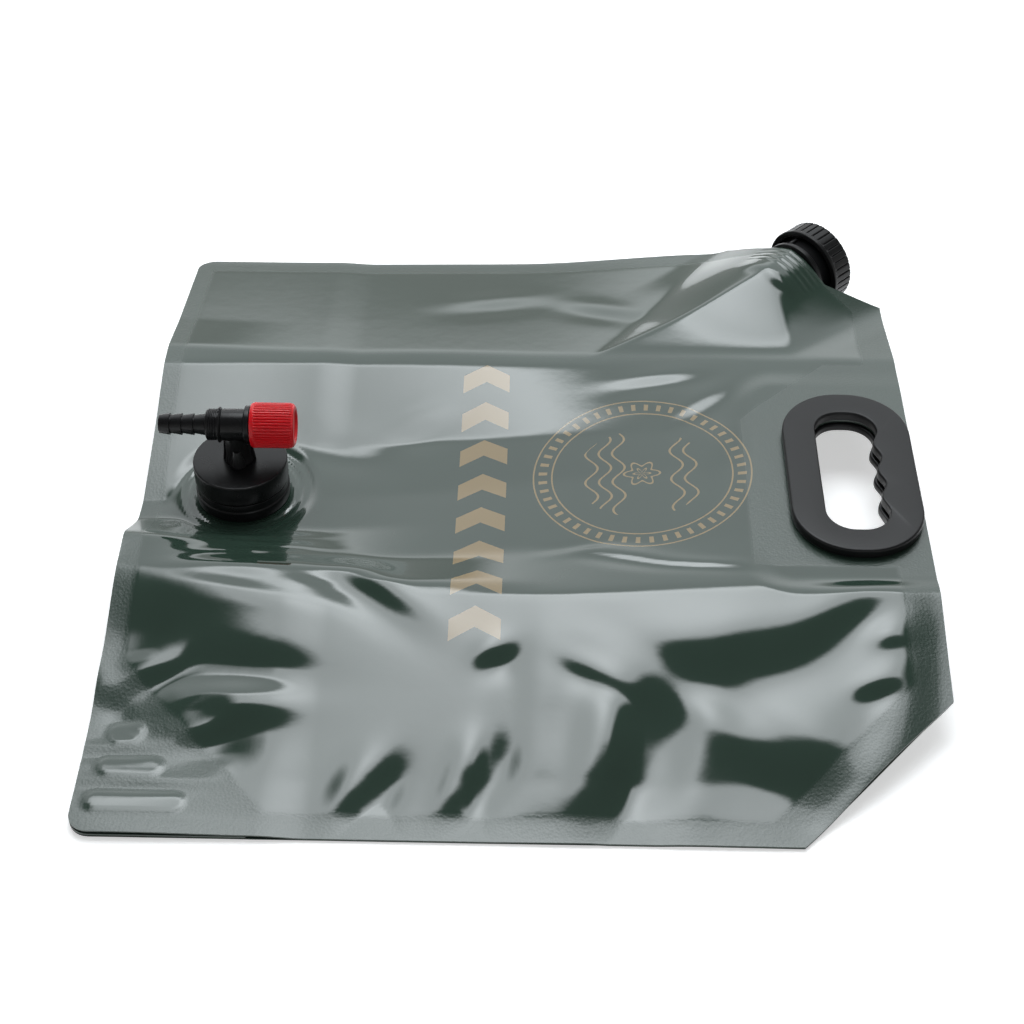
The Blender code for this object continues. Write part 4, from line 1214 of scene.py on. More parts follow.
    def plain_course(self, x: Array, y: Array) -> Array:
        """Height of the back wall's underside before it is eased and the fittings shape it.

        Args:
            x: The points' X.
            y: The points' Y.

        Returns:
            The height at each point.
        """
        along = np.clip(x / (self.length / 2), -1, 1)
        across = y / (self.width / 2)
        layers = np.array([np.interp(across[:, 0], *zip(*points)) for _, points in self.courses])
        stations = np.array([station for station, _ in self.courses])
        result = np.zeros_like(x)
        for column in range(x.shape[1]):
            share = along[0, column]
            last = max(1, int(np.searchsorted(stations, share)))
            blend = (share - stations[last - 1]) / (stations[last] - stations[last - 1])
            result[:, column] = layers[last - 1] * (1 - blend) + layers[last] * blend
        return result * self.crest

    def handle_share(self, x: Array, y: Array) -> Array:
        """1 where the handle holds the film flat, falling to 0 around it.

        Args:
            x: The points' X.
            y: The points' Y.

        Returns:
            The share at each point.
        """
        beyond_x = np.maximum(0, np.abs(x - HANDLE_CENTRE[0]) - HANDLE_SIZE[0] / 2)
        beyond_y = np.maximum(0, np.abs(y - HANDLE_CENTRE[1]) - HANDLE_SIZE[1] / 2)
        return ease(1 - (np.hypot(beyond_x, beyond_y) - self.handle_flat) / self.handle_ease)

    def tap_share(self, x: Array, y: Array) -> Array:
        """1 where the tap's flange holds the film flat, falling to 0 around it."""
        beyond = np.hypot(x - TAP_CENTRE[0], y - TAP_CENTRE[1]) - FLANGE_RADIUS
        return ease(1 - beyond / self.tap_ease)

    def spout_place(self, x: Array, y: Array) -> tuple[Array, Array]:
        """Distance along the spout's axis and to its left, seen from above."""
        east, north = x - SPOUT_CENTRE[0], y - SPOUT_CENTRE[1]
        return (east + north) / math.sqrt(2), (north - east) / math.sqrt(2)

    def spout_shares(self, x: Array, y: Array) -> tuple[Array, Array]:
        """How far the spout lifts the film and how far it swells it apart, each from 0 to 1.

        Args:
            x: The points' X.
            y: The points' Y.

        Returns:
            The lift's and the swell's share at each point.
        """
        along, aside = self.spout_place(x, y)
        behind = along + BOAT_BACK + self.weld_lap
        panel = ease((y - self.far_crease + self.crease_ease / 2) / self.crease_ease)
        lift = np.maximum(0, 1 - (aside / self.lift_half) ** 2) ** 2 * ease(1 + behind / self.lift_reach)
        boat = np.maximum(0, 1 - (aside / self.swell_half) ** 2) * ease(1 + behind / self.swell_reach)
        soft = self.swell_blend
        both = soft * (np.logaddexp(boat / soft, self.tent_share(x, y) / soft) - math.log(2))
        return lift * panel, np.maximum(0, both) * panel

    def tent_share(self, x: Array, y: Array) -> Array:
        """Height of the three flat faces behind the spout, 1 at their apex and 0 at their feet.

        Args:
            x: The points' X.
            y: The points' Y.

        Returns:
            The height at each point.
        """
        apex_x, apex_y = self.tent_apex
        faces = []
        for (left_x, left_y), (right_x, right_y) in zip(self.tent_feet, self.tent_feet[1:]):
            foot_x, foot_y = right_x - left_x, right_y - left_y
            run = (x - apex_x) * foot_y - (y - apex_y) * foot_x
            whole = (left_x - apex_x) * foot_y - (left_y - apex_y) * foot_x
            faces.append(1 - run / whole)
        soft = self.tent_softness
        # Far outside the faces the heights are held, so that the powers stay finite
        lowest = -soft * np.log(sum(np.exp(-np.clip(face, -3, 3) / soft) for face in faces))
        return soft * np.logaddexp(0, lowest / soft)

    def stack(self, x: Array, y: Array) -> Array:
        """Height from the back wall's underside to the front wall's top.

        Args:
            x: The points' X.
            y: The points' Y.

        Returns:
            The height at each point.
        """
        seal = 2 * self.film + self.ply_gap
        folded = ease(1 - (x - self.gusset_fold - self.gusset_lap) / self.gusset_ease)
        height = seal + folded * (self.gusset_plies + self.ply_gap)
        return height + self.tap_share(x, y) * (self.tap_stack - height)

    def base(self, x: Array, y: Array) -> Array:
        """The course with the tap and the handle holding it."""
        base = self.course.height(x, y) * (1 - self.tap_share(x, y))
        return base + self.handle_share(x, y) * (self.handle_height - base)

    def back_height(self, x: Array, y: Array) -> Array:
        """Underside of the back wall.

        Args:
            x: The points' X.
            y: The points' Y.

        Returns:
            The height at each point.
        """
        base = self.base(x, y)
        lift, swell = self.spout_shares(x, y)
        target = SPOUT_CENTRE[2] - self.stack(x, y) / 2
        plain = base + lift * (target - base) - swell * self.swell
        under_front = self.front_height(x, y) - self.stack(x, y)
        return np.maximum(0.0, np.minimum(plain, under_front))

    def front_height(self, x: Array, y: Array) -> Array:
        """Top of the front wall, with its wrinkles.

        Args:
            x: The points' X.
            y: The points' Y.

        Returns:
            The height at each point.
        """
        base = self.base(x, y)
        lift, swell = self.spout_shares(x, y)
        stack = self.stack(x, y)
        plain = base + lift * (SPOUT_CENTRE[2] - stack / 2 - base) + swell * self.swell + stack
        return np.maximum(plain + self.wrinkles(x, y), stack)

    def wrinkles(self, x: Array, y: Array) -> Array:
        """What the wrinkles and welds add to the front wall, in metres.

        Args:
            x: The points' X.
            y: The points' Y.

        Returns:
            The added height at each point.
        """
        free = (1 - self.handle_share(x, y)) * (1 - self.tap_share(x, y))
        total = sum(tilt.height(x, y) for tilt in TILTS) - SEAL_DEPTH * self.seal_share(x, y)
        total = (total + MARK_HEIGHT * sum(mark.share(x, y) for mark in PRESSED_MARKS)) * free
        from_tap = np.hypot(x - TAP_CENTRE[0], y - TAP_CENTRE[1])
        for radius in self.tap_rings:
            ring = np.exp(-((from_tap - radius) / self.tap_ring_width) ** 2 / 2)
            total = total + self.tap_ring_height * ring
        along, _ = self.spout_place(x, y)
        ribs = self.weld_rib_height * np.sin(2 * math.pi * along / self.weld_rib_pitch)
        return total + ribs * self.weld_share(x, y)

    def weld_share(self, x: Array, y: Array) -> Array:
        """1 where the film is welded to the spout's boat, falling softly to 0.

        Args:
            x: The points' X.
            y: The points' Y.

        Returns:
            The share at each point.
        """
        along, aside = self.spout_place(x, y)
        lengthways = ease((BOAT_BACK + along) / self.weld_ease)
        return lengthways * ease((self.spout_notch - np.abs(aside)) / self.weld_ease)

    def seal_share(self, x: Array, y: Array) -> Array:
        """1 on the welded seals and 0 on the loose film, over a soft step.

        Args:
            x: The points' X.
            y: The points' Y.

        Returns:
            The share at each point.
        """
        half_x, half_y = self.length / 2, self.width / 2
        lines = (
            (x - (half_x - self.near_chamfer), -(y + half_y), self.near_chamfer, self.near_chamfer),
            (x - (half_x - self.far_chamfer_x), y - half_y, self.far_chamfer_y, self.far_chamfer_x),
            (self.corner_seal[0] - x, self.corner_seal[1] - y, *self.corner_slant),
            (x - self.pad_left, -(y - self.pad_far), *self.pad_slant),
        )
        near, far, corner, pad = ((dx * a + dy * b) / math.hypot(a, b) for dx, dy, a, b in lines)
        pad_end = self.far_crease - self.pad_margin - y
        depths = np.maximum.reduce([
            np.abs(y) - (half_y - self.side_seal), -x - (half_x - self.bottom_seal),
            x - (half_x - self.top_seal), near + self.chamfer_seal, far + self.chamfer_seal, corner,
            np.minimum.reduce([pad, x - self.pad_left, y - self.pad_near, pad_end]),
        ])
        return ease(depths / self.seal_step + 0.5)

    def rough_share(self, x: Array, y: Array) -> Array:
        """1 where the sealing bars left their waffle: on the seals, but not on the pressed marks."""
        return self.seal_share(x, y) * (1 - sum(mark.share(x, y) for mark in PRESSED_MARKS))

    def outline(self) -> list[Point2]:
        """The bag's edge seen from above, anticlockwise from the near right chamfer.

        Returns:
            The outline's corners.
        """
        half_x, half_y = self.length / 2, self.width / 2
        points = [(half_x, self.near_chamfer - half_y), (half_x, half_y - self.far_chamfer_y)]
        forward = Vector((1.0, 1.0)).normalized()
        left = Vector((-forward.y, forward.x))
        edge = Vector(SPOUT_CENTRE[:2]) - BOAT_FRONT * forward
        points.append(tuple(edge - self.spout_notch * left))
        points.append(tuple(edge + self.spout_notch * left))
        points.append((half_x - self.far_chamfer_x, half_y))
        corners = rounded_rectangle(self.length, self.width, self.corner_radius, steps=8)
        points += [point for point in corners if point[0] < 0]
        points.append((half_x - self.near_chamfer, -half_y))
        return points

    def finger_hole(self) -> list[Point2]:
        """The hole in the film behind the handle's opening."""
        hole = rounded_rectangle(*self.finger_hole_size, self.finger_hole_corner)
        return [(x + HANDLE_CENTRE[0], y + HANDLE_CENTRE[1]) for x, y in hole]

    def tap_hole(self) -> list[Point2]:
        """The hole in the front film for the fitment's neck.

        Returns:
            The hole's corners.
        """
        radius, steps = self.tap_hole_radius, self.tap_hole_steps
        angles = [2 * math.pi * n / steps for n in range(steps)]
        return [(TAP_CENTRE[0] + radius * math.cos(a), TAP_CENTRE[1] + radius * math.sin(a)) for a in angles]

    def flat_sheet(self, ply: Ply, panel: Panel) -> bmesh.types.BMesh:
        """Cuts a flat sheet to the bag's outline.

        Args:
            ply: The layer that the sheet belongs to.
            panel: Its panel.

        Returns:
            The sheet.
        """
        low, high = self.spans()[panel]
        holes = ply.holes if panel is Panel.CENTRE else []
        columns = round((ply.right + self.length / 2) / ply.pitch)
        rows = round((high - low) / ply.pitch)
        xs = np.linspace(-self.length / 2, ply.right, columns + 1)
        ys = np.linspace(low, high, rows + 1)
        grid_x, grid_y = np.meshgrid(xs, ys)
        vertices = np.stack((grid_x, grid_y, np.zeros_like(grid_x)), -1).reshape(-1, 3)
        corner = (np.arange(rows)[:, None] * (columns + 1) + np.arange(columns)).reshape(-1)
        faces = np.stack((corner, corner + 1, corner + columns + 2, corner + columns + 1), -1)
        sheet = bmesh.new()
        sheet.from_mesh(mesh_of("flat_sheet", vertices, faces.tolist()))
        for outline, keep_inside in ((self.outline(), True), *((hole, False) for hole in holes)):
            for start, end in zip([outline[-1], *outline[:-1]], outline):
                self.score(sheet, start, end, ply.pitch)
            sheet.faces.ensure_lookup_table()
            centres = np.array([face.calc_center_median()[:2] for face in sheet.faces])
            inside = inside_outline(centres[:, 0], centres[:, 1], outline)
            doomed = [face for face, held in zip(sheet.faces, inside) if held != keep_inside]
            bmesh.ops.delete(sheet, geom=doomed, context="FACES")
        if ply.fine_weld:
            self.refine(sheet)
        return sheet

    def refine(self, sheet: bmesh.types.BMesh) -> None:
        """Halves the faces at the spout's weld, whose ribs are fine.

        Args:
            sheet: The flat sheet, which is changed.
        """
        centres = np.array([face.calc_center_median()[:2] for face in sheet.faces])
        welded = self.weld_share(centres[:, 0], centres[:, 1]) > 0
        edges = dict.fromkeys(edge for face, held in zip(sheet.faces, welded) if held for edge in face.edges)
        if edges:
            bmesh.ops.subdivide_edges(sheet, edges=list(edges), cuts=1, use_grid_fill=True)

    def score(self, sheet: bmesh.types.BMesh, start: Point2, end: Point2, pitch: float) -> None:
        """Cuts the faces along one edge of an outline, so that they can part there.

        Args:
            sheet: The flat sheet, which is changed.
            start: The edge's start.
            end: The edge's end.
            pitch: Size of the sheet's faces.
        """
        run = Vector((end[0] - start[0], end[1] - start[1], 0))
        if run.length < 1e-6:
            return
        reach = 1.5 * pitch
        low_x, high_x = sorted((start[0], end[0]))
        low_y, high_y = sorted((start[1], end[1]))
        near = []
        for face in sheet.faces:
            x, y, _ = face.calc_center_median()
            if low_x - reach < x < high_x + reach and low_y - reach < y < high_y + reach:
                offset = Vector((x - start[0], y - start[1], 0))
                if offset.cross(run).length / run.length < reach:
                    near.append(face)
        if not near:
            return
        edges = list(dict.fromkeys(edge for face in near for edge in face.edges))
        corners = list(dict.fromkeys(corner for face in near for corner in face.verts))
        bmesh.ops.bisect_plane(
            sheet, geom=near + edges + corners, dist=1e-6, plane_co=(start[0], start[1], 0),
            plane_no=run.cross(Vector((0, 0, 1))).normalized(),
        )

    def solid(self, ply: Ply, panel: Panel) -> Mesh:
        """Gives a flat sheet its course and its thickness.

        Args:
            ply: The layer that the sheet belongs to.
            panel: Its panel.

        Returns:
            The closed mesh, with its flat map and its seal attribute.
        """
        sheet = self.flat_sheet(ply, panel)
        sheet.verts.index_update()
        flat = np.array([vertex.co[:2] for vertex in sheet.verts])
        loops = [[vertex.index for vertex in face.verts] for face in sheet.faces]
        rim = []
        for edge in sheet.edges:
            if len(edge.link_faces) == 1:
                loop = edge.link_loops[0]
                rim.append((loop.vert.index, loop.link_loop_next.vert.index))
        sheet.free()
        count = len(flat)
        x, y = flat[:, 0], flat[:, 1]
        upper = np.column_stack((x, y, ply.top(x, y)))
        lower = np.column_stack((x, y, ply.bottom(x, y)))
        faces = loops + [[count + n for n in face[::-1]] for face in loops]
        faces += [[b, a, count + a, count + b] for a, b in rim]
        mesh = mesh_of(f"{ply.name}_{panel.value}", np.vstack((upper, lower)), faces)
        mesh.shade_smooth()
        chart = mesh.uv_layers.new(name="sheet")
        owners = np.zeros(len(mesh.loops), int)
        mesh.loops.foreach_get("vertex_index", owners)
        both = np.vstack((flat, flat))
        chart.uv.foreach_set("vector", both[owners].astype(np.float32).ravel())
        seal = mesh.attributes.new("seal", "FLOAT", "POINT")
        shares = self.rough_share(x, y)
        seal.data.foreach_set("value", np.concatenate((shares, shares)).astype(np.float32))
        up = ply.normal(x, y)
        normals = np.vstack((up, -up))[owners]
        side_start = sum(len(face) for face in faces[:2 * len(loops)])
        side = mesh.polygons[2 * len(loops):]
        flat_normals = np.repeat(np.array([polygon.normal[:] for polygon in side]), 4, axis=0)
        normals[side_start:] = flat_normals
        mesh.normals_split_custom_set(normals.tolist())
        return mesh

    def spans(self) -> dict[Panel, tuple[float, float]]:
        """The Y range of each panel.

        Returns:
            The lowest and highest Y by panel.
        """
        half = self.width / 2
        return {
            Panel.NEAR: (-half, self.near_crease),
            Panel.CENTRE: (self.near_crease, self.far_crease),
            Panel.FAR: (self.far_crease, half),
        }

    def hang(self, ply: Ply, panel: Panel) -> None:
        """Puts a panel in the scene: the centre rides on its body, and the flaps stay fixed where they lie.

        Args:
            ply: The layer.
            panel: Its panel.
        """
        body = Body.CENTRE_PANEL if panel is Panel.CENTRE else None
        obj = piece(self.solid(ply, panel), body, ply.material, (f"{ply.node}_{panel.value}",))
        if panel is Panel.NEAR:
            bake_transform(obj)
        if panel is Panel.FAR:
            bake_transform(obj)

    def plies(self) -> tuple[Ply, ...]:
        """The front wall, the back wall and the folded gusset between them.

        Returns:
            The three layers.
        """
        front, back = self.front, self.back
        right, fold = self.length / 2, self.gusset_fold
        weld = self.film + self.ply_gap / 2 - self.weld_overlap
        start = self.film + self.ply_gap
        finger_hole, tap_hole = self.finger_hole(), self.tap_hole()
        return (
            Ply("front_wall", "front_film", "green_film", self.finishes.front_film, right, self.front_pitch,
                [finger_hole, tap_hole], front.height, lambda x, y: front.height(x, y) - weld, front.normal,
                fine_weld=True),
            Ply("back_wall", "back_film", "green_film", self.finishes.back_film, right, self.back_pitch,
                [finger_hole], lambda x, y: back.height(x, y) + self.film, back.height, back.normal),
            Ply("gusset", "bottom_gusset", "gusset_film", self.finishes.back_film, fold, self.back_pitch,
                [], lambda x, y: back.height(x, y) + start + self.gusset_plies,
                lambda x, y: back.height(x, y) + start, back.normal),
        )

    def build(self) -> None:
        """Builds and places every panel of both walls and the gusset."""
        for panel in Panel:
            for ply in self.plies():
                self.hang(ply, panel)


# The carrying handle


@dataclass
class CarryHandle:
    """Two moulded half frames that clamp the film round the finger opening."""

    finishes: Finishes
    corner: float = 0.031
    opening_width: float = 0.032
    opening_length: float = 0.088
    opening_corner: float = 0.014
    finger_rise: float = 0.003
    finger_pitch: float = 0.020
    finger_rests: int = 3
    wave_steps: int = 96
    front_heights: Point2 = (0.0292, 0.0347)
    back_heights: Point2 = (0.0227, 0.0272)
    back_opening_growth: float = -0.8 * MM
    back_outline_growth: float = 0.6 * MM
    edge: float = 0.0016
    stations: int = 300

    def opening(self, growth: float) -> list[Point2]:
        """The opening's outline, whose +X side has a wave of finger rests.

        Args:
            growth: How much larger the opening is.

        Returns:
            The outline's points.
        """
        width = self.opening_width + 2 * growth
        length = self.opening_length + 2 * growth
        outline = rounded_rectangle(width, length, self.opening_corner + growth)
        half = self.finger_rests * self.finger_pitch / 2
        wave = []
        for n in range(self.wave_steps + 1):
            swing = math.cos(2 * math.pi * self.finger_rests * n / self.wave_steps)
            rise = self.finger_rise * (1 - swing) / 2
            wave.append((self.opening_width / 2 + growth - rise, half * (2 * n / self.wave_steps - 1)))
        return wave + outline

    def reach(self, outline: Sequence[Point2], angle: float) -> float:
        """Distance from the middle to an outline, along an angle.

        Args:
            outline: The outline's corners.
            angle: The direction in radians.

        Returns:
            The distance to the farthest crossing.
        """
        direction = (math.cos(angle), math.sin(angle))
        best = 0.0
        for (x0, y0), (x1, y1) in zip([outline[-1], *outline[:-1]], outline):
            run = (x1 - x0, y1 - y0)
            cross = direction[0] * run[1] - direction[1] * run[0]
            if abs(cross) < 1e-12:
                continue
            far = (x0 * run[1] - y0 * run[0]) / cross
            share = (x0 * direction[1] - y0 * direction[0]) / cross
            if far > best and -1e-6 <= share <= 1 + 1e-6:
                best = far
        return best

    def shell(self, name: str, heights: Point2, inner_growth: float, outer_growth: float) -> Mesh:
        """One half frame between two heights, with round edges.

        Args:
            name: The mesh's name.
            heights: Its underside and its top.
            inner_growth: How much larger its opening is.
            outer_growth: How much larger its outline is.

        Returns:
            The closed mesh.
        """
        low, high = heights
        width, length = (size + 2 * outer_growth for size in HANDLE_SIZE)
        outer = rounded_rectangle(width, length, self.corner + outer_growth, steps=20)
        inner = self.opening(inner_growth)
        loops = []
        for n in range(self.stations):
            angle = 2 * math.pi * n / self.stations
            east, north = math.cos(angle), math.sin(angle)
            near, far = self.reach(inner, angle), self.reach(outer, angle)
            corners = [(r, z, self.edge) for r, z in ((near, low), (far, low), (far, high), (near, high))]
            section = rounded(corners, steps=5)
            loops.append([(HANDLE_CENTRE[0] + r * east, HANDLE_CENTRE[1] + r * north, z) for r, z in section])
        return shade(swept(name, loops, closed=True), 50)

    def build(self) -> None:
        """Builds and places both half frames."""
        front = self.shell("handle_front", self.front_heights, 0.0, 0.0)
        piece(front, Body.CENTRE_PANEL, self.finishes.handle, ("handle_front_shell",))
        growths = (self.back_opening_growth, self.back_outline_growth)
        back = self.shell("handle_back", self.back_heights, *growths)
        piece(back, Body.CENTRE_PANEL, self.finishes.black, ("handle_back_shell",))


# The filler


@dataclass
class Filler:
    """The weld boat with its flange and threaded neck, and the grooved screw cap."""

    finishes: Finishes
    trees: NodeTrees
    turn: float = math.radians(45)
    boat_half_width: float = 0.028
    boat_half_thickness: float = 0.0130
    boat_tip: float = 0.0008
    boat_ribs: int = 4
    boat_rib_depth: float = 0.0008
    boat_steps: int = 48
    lens_steps: int = 24
    flange_low: float = -0.0057
    flange_high: float = -0.0027
    flange_radius: float = 0.0205
    neck_radius: float = 0.0190
    neck_end: float = 0.0138
    bore_radius: float = 0.0150
    socket_radius: float = 0.0100
    socket_depth: float = 0.0030
    socket_wall: float = 0.0018
    key_radius: float = 0.0011
    key_half: float = 0.0030
    key_aside: float = 0.0060
    cap_radius: float = 0.0245
    cap_rim: float = 0.0035
    cap_rim_height: float = 0.0022
    cap_end: float = 0.0180
    cap_top: float = 0.0024
    cap_wall: float = 0.0033
    cap_dish: float = 0.0004
    cap_dish_radius: float = 0.0205
    cap_face_radius: float = 0.0212
    cap_inset: float = 0.0003
    cap_rows: int = 24
    cap_row_start: float = 0.0014
    cap_row_pitch: float = 0.00042
    grooves: int = 36
    groove_depth: float = 0.0009

    def place(self) -> Matrix:
        """The spout's frame: its Z runs out along the spout and its Y up.

        Returns:
            The frame's place and turn.
        """
        forward = Vector((math.cos(self.turn), math.sin(self.turn), 0))
        left = Vector((-forward.y, forward.x, 0))
        turn = Matrix((left, Vector((0, 0, 1)), forward)).transposed().to_4x4()
        return Matrix.Translation(SPOUT_CENTRE) @ turn

    def boat(self) -> Mesh:
        """The lens-shaped weld boat with its welding ribs.

        Returns:
            The closed mesh.
        """
        loops = []
        steps = self.boat_steps
        for n in range(steps + 1):
            along = -BOAT_BACK + (BOAT_BACK - BOAT_FRONT) * n / steps
            swing = math.cos(2 * math.pi * self.boat_ribs * n / steps)
            inset = self.boat_rib_depth * float(ease(0.5 + 1.6 * swing))
            upper = []
            for k in range(self.lens_steps + 1):
                share = 2 * k / self.lens_steps - 1
                rise = (self.boat_half_thickness - self.boat_tip - inset) * (1 - share * share)
                upper.append((share * (self.boat_half_width - inset), self.boat_tip + rise))
            section = [(x, -y) for x, y in upper] + upper[::-1]
            loops.append([(x, y, along) for x, y in section])
        return swept("boat", loops, closed=False)

    def build_spout(self) -> None:
        """Builds the boat, the flange and the threaded neck with its key."""
        low, high = self.flange_low, self.flange_high
        socket, outside = self.socket_radius, self.socket_radius + self.socket_wall
        deep = low - self.socket_depth
        neck = lathed("neck", (
            (self.flange_radius, low, 0.0006), (self.flange_radius, high, 0.0006),
            (self.neck_radius, high, 0.0003), (self.neck_radius, self.neck_end, 0.0007),
            (self.bore_radius, self.neck_end, 0.0007), (self.bore_radius, high, 0.0008),
            (socket, low, 0.0), (socket, deep, 0.0), (outside, deep, 0.0), (outside, low, 0.0),
        ))
        threaded = node_shape("threaded_neck", neck, self.trees.threaded, {
            "Turns": 1.6, "Radius": self.neck_radius, "Height": 0.0064, "Start": 0.0052, "Ridge": 0.0008,
            "Material": self.finishes.black,
        })
        key_place = Matrix.Translation((self.key_aside, self.neck_radius - 0.0002, 0.0))
        key = lathed("neck_key", (
            (0.0, -self.key_half, 0.0), (self.key_radius, -self.key_half, 0.0004),
            (self.key_radius, self.key_half, 0.0004), (0.0, self.key_half, 0.0),
        ), 16, key_place)
        spout = joined("filler_neck", (shade(self.boat(), 40), threaded, key))
        spout.transform(self.place())
        piece(spout, Body.FAR_FLAP, self.finishes.black, ("filler_spout",))

    def build_cap(self) -> None:
        """Builds the cap, whose outer wall has fine rows for the grip grooves."""
        radius, end = self.cap_radius, self.cap_end
        wall, inside = radius - self.cap_inset, radius - self.cap_wall
        dish, under = end - self.cap_dish, end - self.cap_top
        rim = self.cap_rim + self.cap_rim_height
        first = end - self.cap_row_start
        rows = [(wall, first - n * self.cap_row_pitch, 0.0) for n in range(self.cap_rows)]
        cap = lathed("cap", (
            (0.0, dish, 0.0), (self.cap_dish_radius, dish, 0.0006), (self.cap_face_radius, end, 0.0005),
            (wall, end, 0.0012), *rows,
            (wall, rim, 0.0), (radius, rim - 0.0003, 0.0002), (radius, self.cap_rim, 0.0006),
            (inside, self.cap_rim, 0.0006), (inside, under, 0.0006), (0.0, under, 0.0),
        ), 704, degrees=40)
        grooved = node_shape("filler_cap_grooved", cap, self.trees.fluted, {
            "Count": float(self.grooves), "Depth": self.groove_depth, "Groove Share": 0.15,
            "Wall Radius": radius, "Low": rim + 0.0008, "High": end + 0.0010, "Ease": 0.0008,
            "Material": self.finishes.black,
        }, self.place())
        piece(grooved, Body.CAP, self.finishes.black, ("filler_cap",))

    def build(self) -> None:
        """Builds and places the spout and the cap."""
        self.build_spout()
        self.build_cap()


# The tap


@dataclass
class Tap:
    """The fitment welded in the film, the screw closure and the tap that stands on it."""

    finishes: Finishes
    trees: NodeTrees
    flange_low: float = 0.0023
    flange_high: float = 0.0053
    collar_low: float = 0.0064
    collar_high: float = 0.0169
    collar_radius: float = 0.02425
    collar_step: float = 0.0006
    collar_step_low: float = 0.0122
    collar_step_high: float = 0.0128
    neck_radius: float = 0.0200
    neck_bore: float = 0.0170
    neck_top: float = 0.0244
    closure_low: float = 0.0175
    closure_high: float = 0.0295
    closure_top: float = 0.0030
    closure_wall: float = 0.0030
    stem_top: float = 0.0480
    spigot_seat: float = 0.0033
    spigot_end: float = 0.0058
    spigot_lip: float = 0.0012
    boss_height: float = 0.0100
    boss_top: float = 0.0019
    boss_foot: float = 0.0041
    boss_gap: float = 0.0004
    boss_sink: float = 0.0007
    stem_radius: float = 0.0066
    web_half: float = 0.0008
    web_depth: float = 0.0030
    web_top: float = 0.0460
    spigot_radius: float = 0.0050
    barrel_height: float = 0.0520
    barrel_radius: float = 0.00825
    barrel_back: float = -0.0070
    barrel_front: float = 0.0047
    seat_radius: float = 0.0056
    seat_depth: float = -0.0024
    port_radius: float = 0.0030
    port_depth: float = -0.0048
    nozzle_socket: float = 0.0051
    nozzle_joint: float = -0.0088
    collar_length: float = 0.0062
    tail_length: float = 0.0243
    tail_radius: float = 0.0047
    barb_radius: float = 0.00555
    nozzle_bore: float = 0.0030
    barbs: int = 4
    ring_step: float = 0.0009
    thread_step: float = 0.0005
    nozzle_seat: float = 0.0048
    nozzle_seat_length: float = 0.0030
    tab_reach: Point2 = (-0.0096, -0.0080)
    tab_half: float = 0.0011
    bonnet_radius: float = 0.0100
    bonnet_length: float = 0.0028
    tube_radius: float = 0.0068
    tube_length: float = 0.0120
    plug_radius: float = 0.0052
    plug_length: float = 0.0014
    knob_radius: float = 0.01165
    knob_length: float = 0.0225
    knob_ribs: int = 46
    knob_rows: int = 30
    knob_wall: float = 0.0036
    knob_end: float = 0.0040
    knob_pocket: float = 0.0020
    knob_dish_radius: float = 0.0070
    knob_face_radius: float = 0.0086
    valve_bore: float = 0.0028

    def upright(self) -> Matrix:
        """Places a mesh turned about Z on the tap's upright axis."""
        return Matrix.Translation((*TAP_CENTRE, 0))

    def along(self) -> Matrix:
        """Places a mesh turned about Z on the barrel's axis, with its Z along +X."""
        middle = Matrix.Translation((*TAP_CENTRE, self.barrel_height))
        return middle @ Matrix.Rotation(math.pi / 2, 4, "Y")

    def build_fitment(self) -> None:
        """Builds the fitment: the flange under the film, and the collar and neck above it."""
        neck, bore, collar = self.neck_radius, self.neck_bore, self.collar_radius
        narrow = collar - self.collar_step
        shape = node_shape("fitment_neck", lathed("neck", (
            (neck, self.neck_top, 0.0006), (neck, self.collar_high, 0.0003),
            (narrow, self.collar_high, 0.0005), (narrow, self.collar_step_high, 0.0003),
            (collar, self.collar_step_low, 0.0003), (collar, self.collar_low, 0.0009),
            (neck, self.collar_low, 0.0), (neck, self.flange_high, 0.0),
            (FLANGE_RADIUS, self.flange_high, 0.0006), (FLANGE_RADIUS, self.flange_low, 0.0006),
            (bore, self.flange_low, 0.0006), (bore, self.neck_top, 0.0006),
        )), self.trees.threaded, {
            "Turns": 1.4, "Radius": neck, "Height": 0.0040, "Start": 0.0190, "Ridge": 0.0007,
            "Material": self.finishes.black,
        }, self.upright())
        piece(shape, Body.CENTRE_PANEL, self.finishes.black, ("tap_fitment",))

    def build_closure(self) -> None:
        """Builds the screw closure."""
        outside, inside = self.collar_radius, self.collar_radius - self.closure_wall
        low, high = self.closure_low, self.closure_high
        under = high - self.closure_top
        spigot = self.spigot_radius + SEAT_GAP
        profile = rounded((
            (outside, high, 0.0009), (outside, low + 0.0008, 0.0004), (outside - 0.0006, low, 0.0003),
            (inside, low, 0.0004), (inside, under, 0.0008), (spigot, under, 0.0), (spigot, high, 0.0004),
        ), steps=5)
        closure = shade(turned("closure_cap", profile, 160))
        closure.transform(self.upright())
        piece(closure, Body.TAP, self.finishes.black, ("tap_closure_cap",))

    def webs(self) -> list[Mesh]:
        """The two webs beside the stem, which narrow upwards.

        Returns:
            Both closed meshes.
        """
        top = self.closure_high
        half, depth = self.web_half, self.web_depth
        section = rounded((
            (-half, 0.0, 0.0003), (half, 0.0, 0.0003), (half, depth, 0.0006), (-half, depth, 0.0006),
        ))
        reaches = ((top + SEAT_GAP, 1.0), (top + 0.0060, 0.72), (top + 0.0125, 0.55), (self.web_top, 0.45))
        webs = []
        for side in (-1, 1):
            loops = []
            for height, reach in reaches:
                loop = []
                for x, y in section:
                    aside = side * (self.stem_radius - half + 0.9 * y * reach)
                    loop.append((TAP_CENTRE[0] + aside, TAP_CENTRE[1] + x, height))
                loops.append(loop)
            webs.append(shade(swept("web", loops, closed=False)))
        return webs

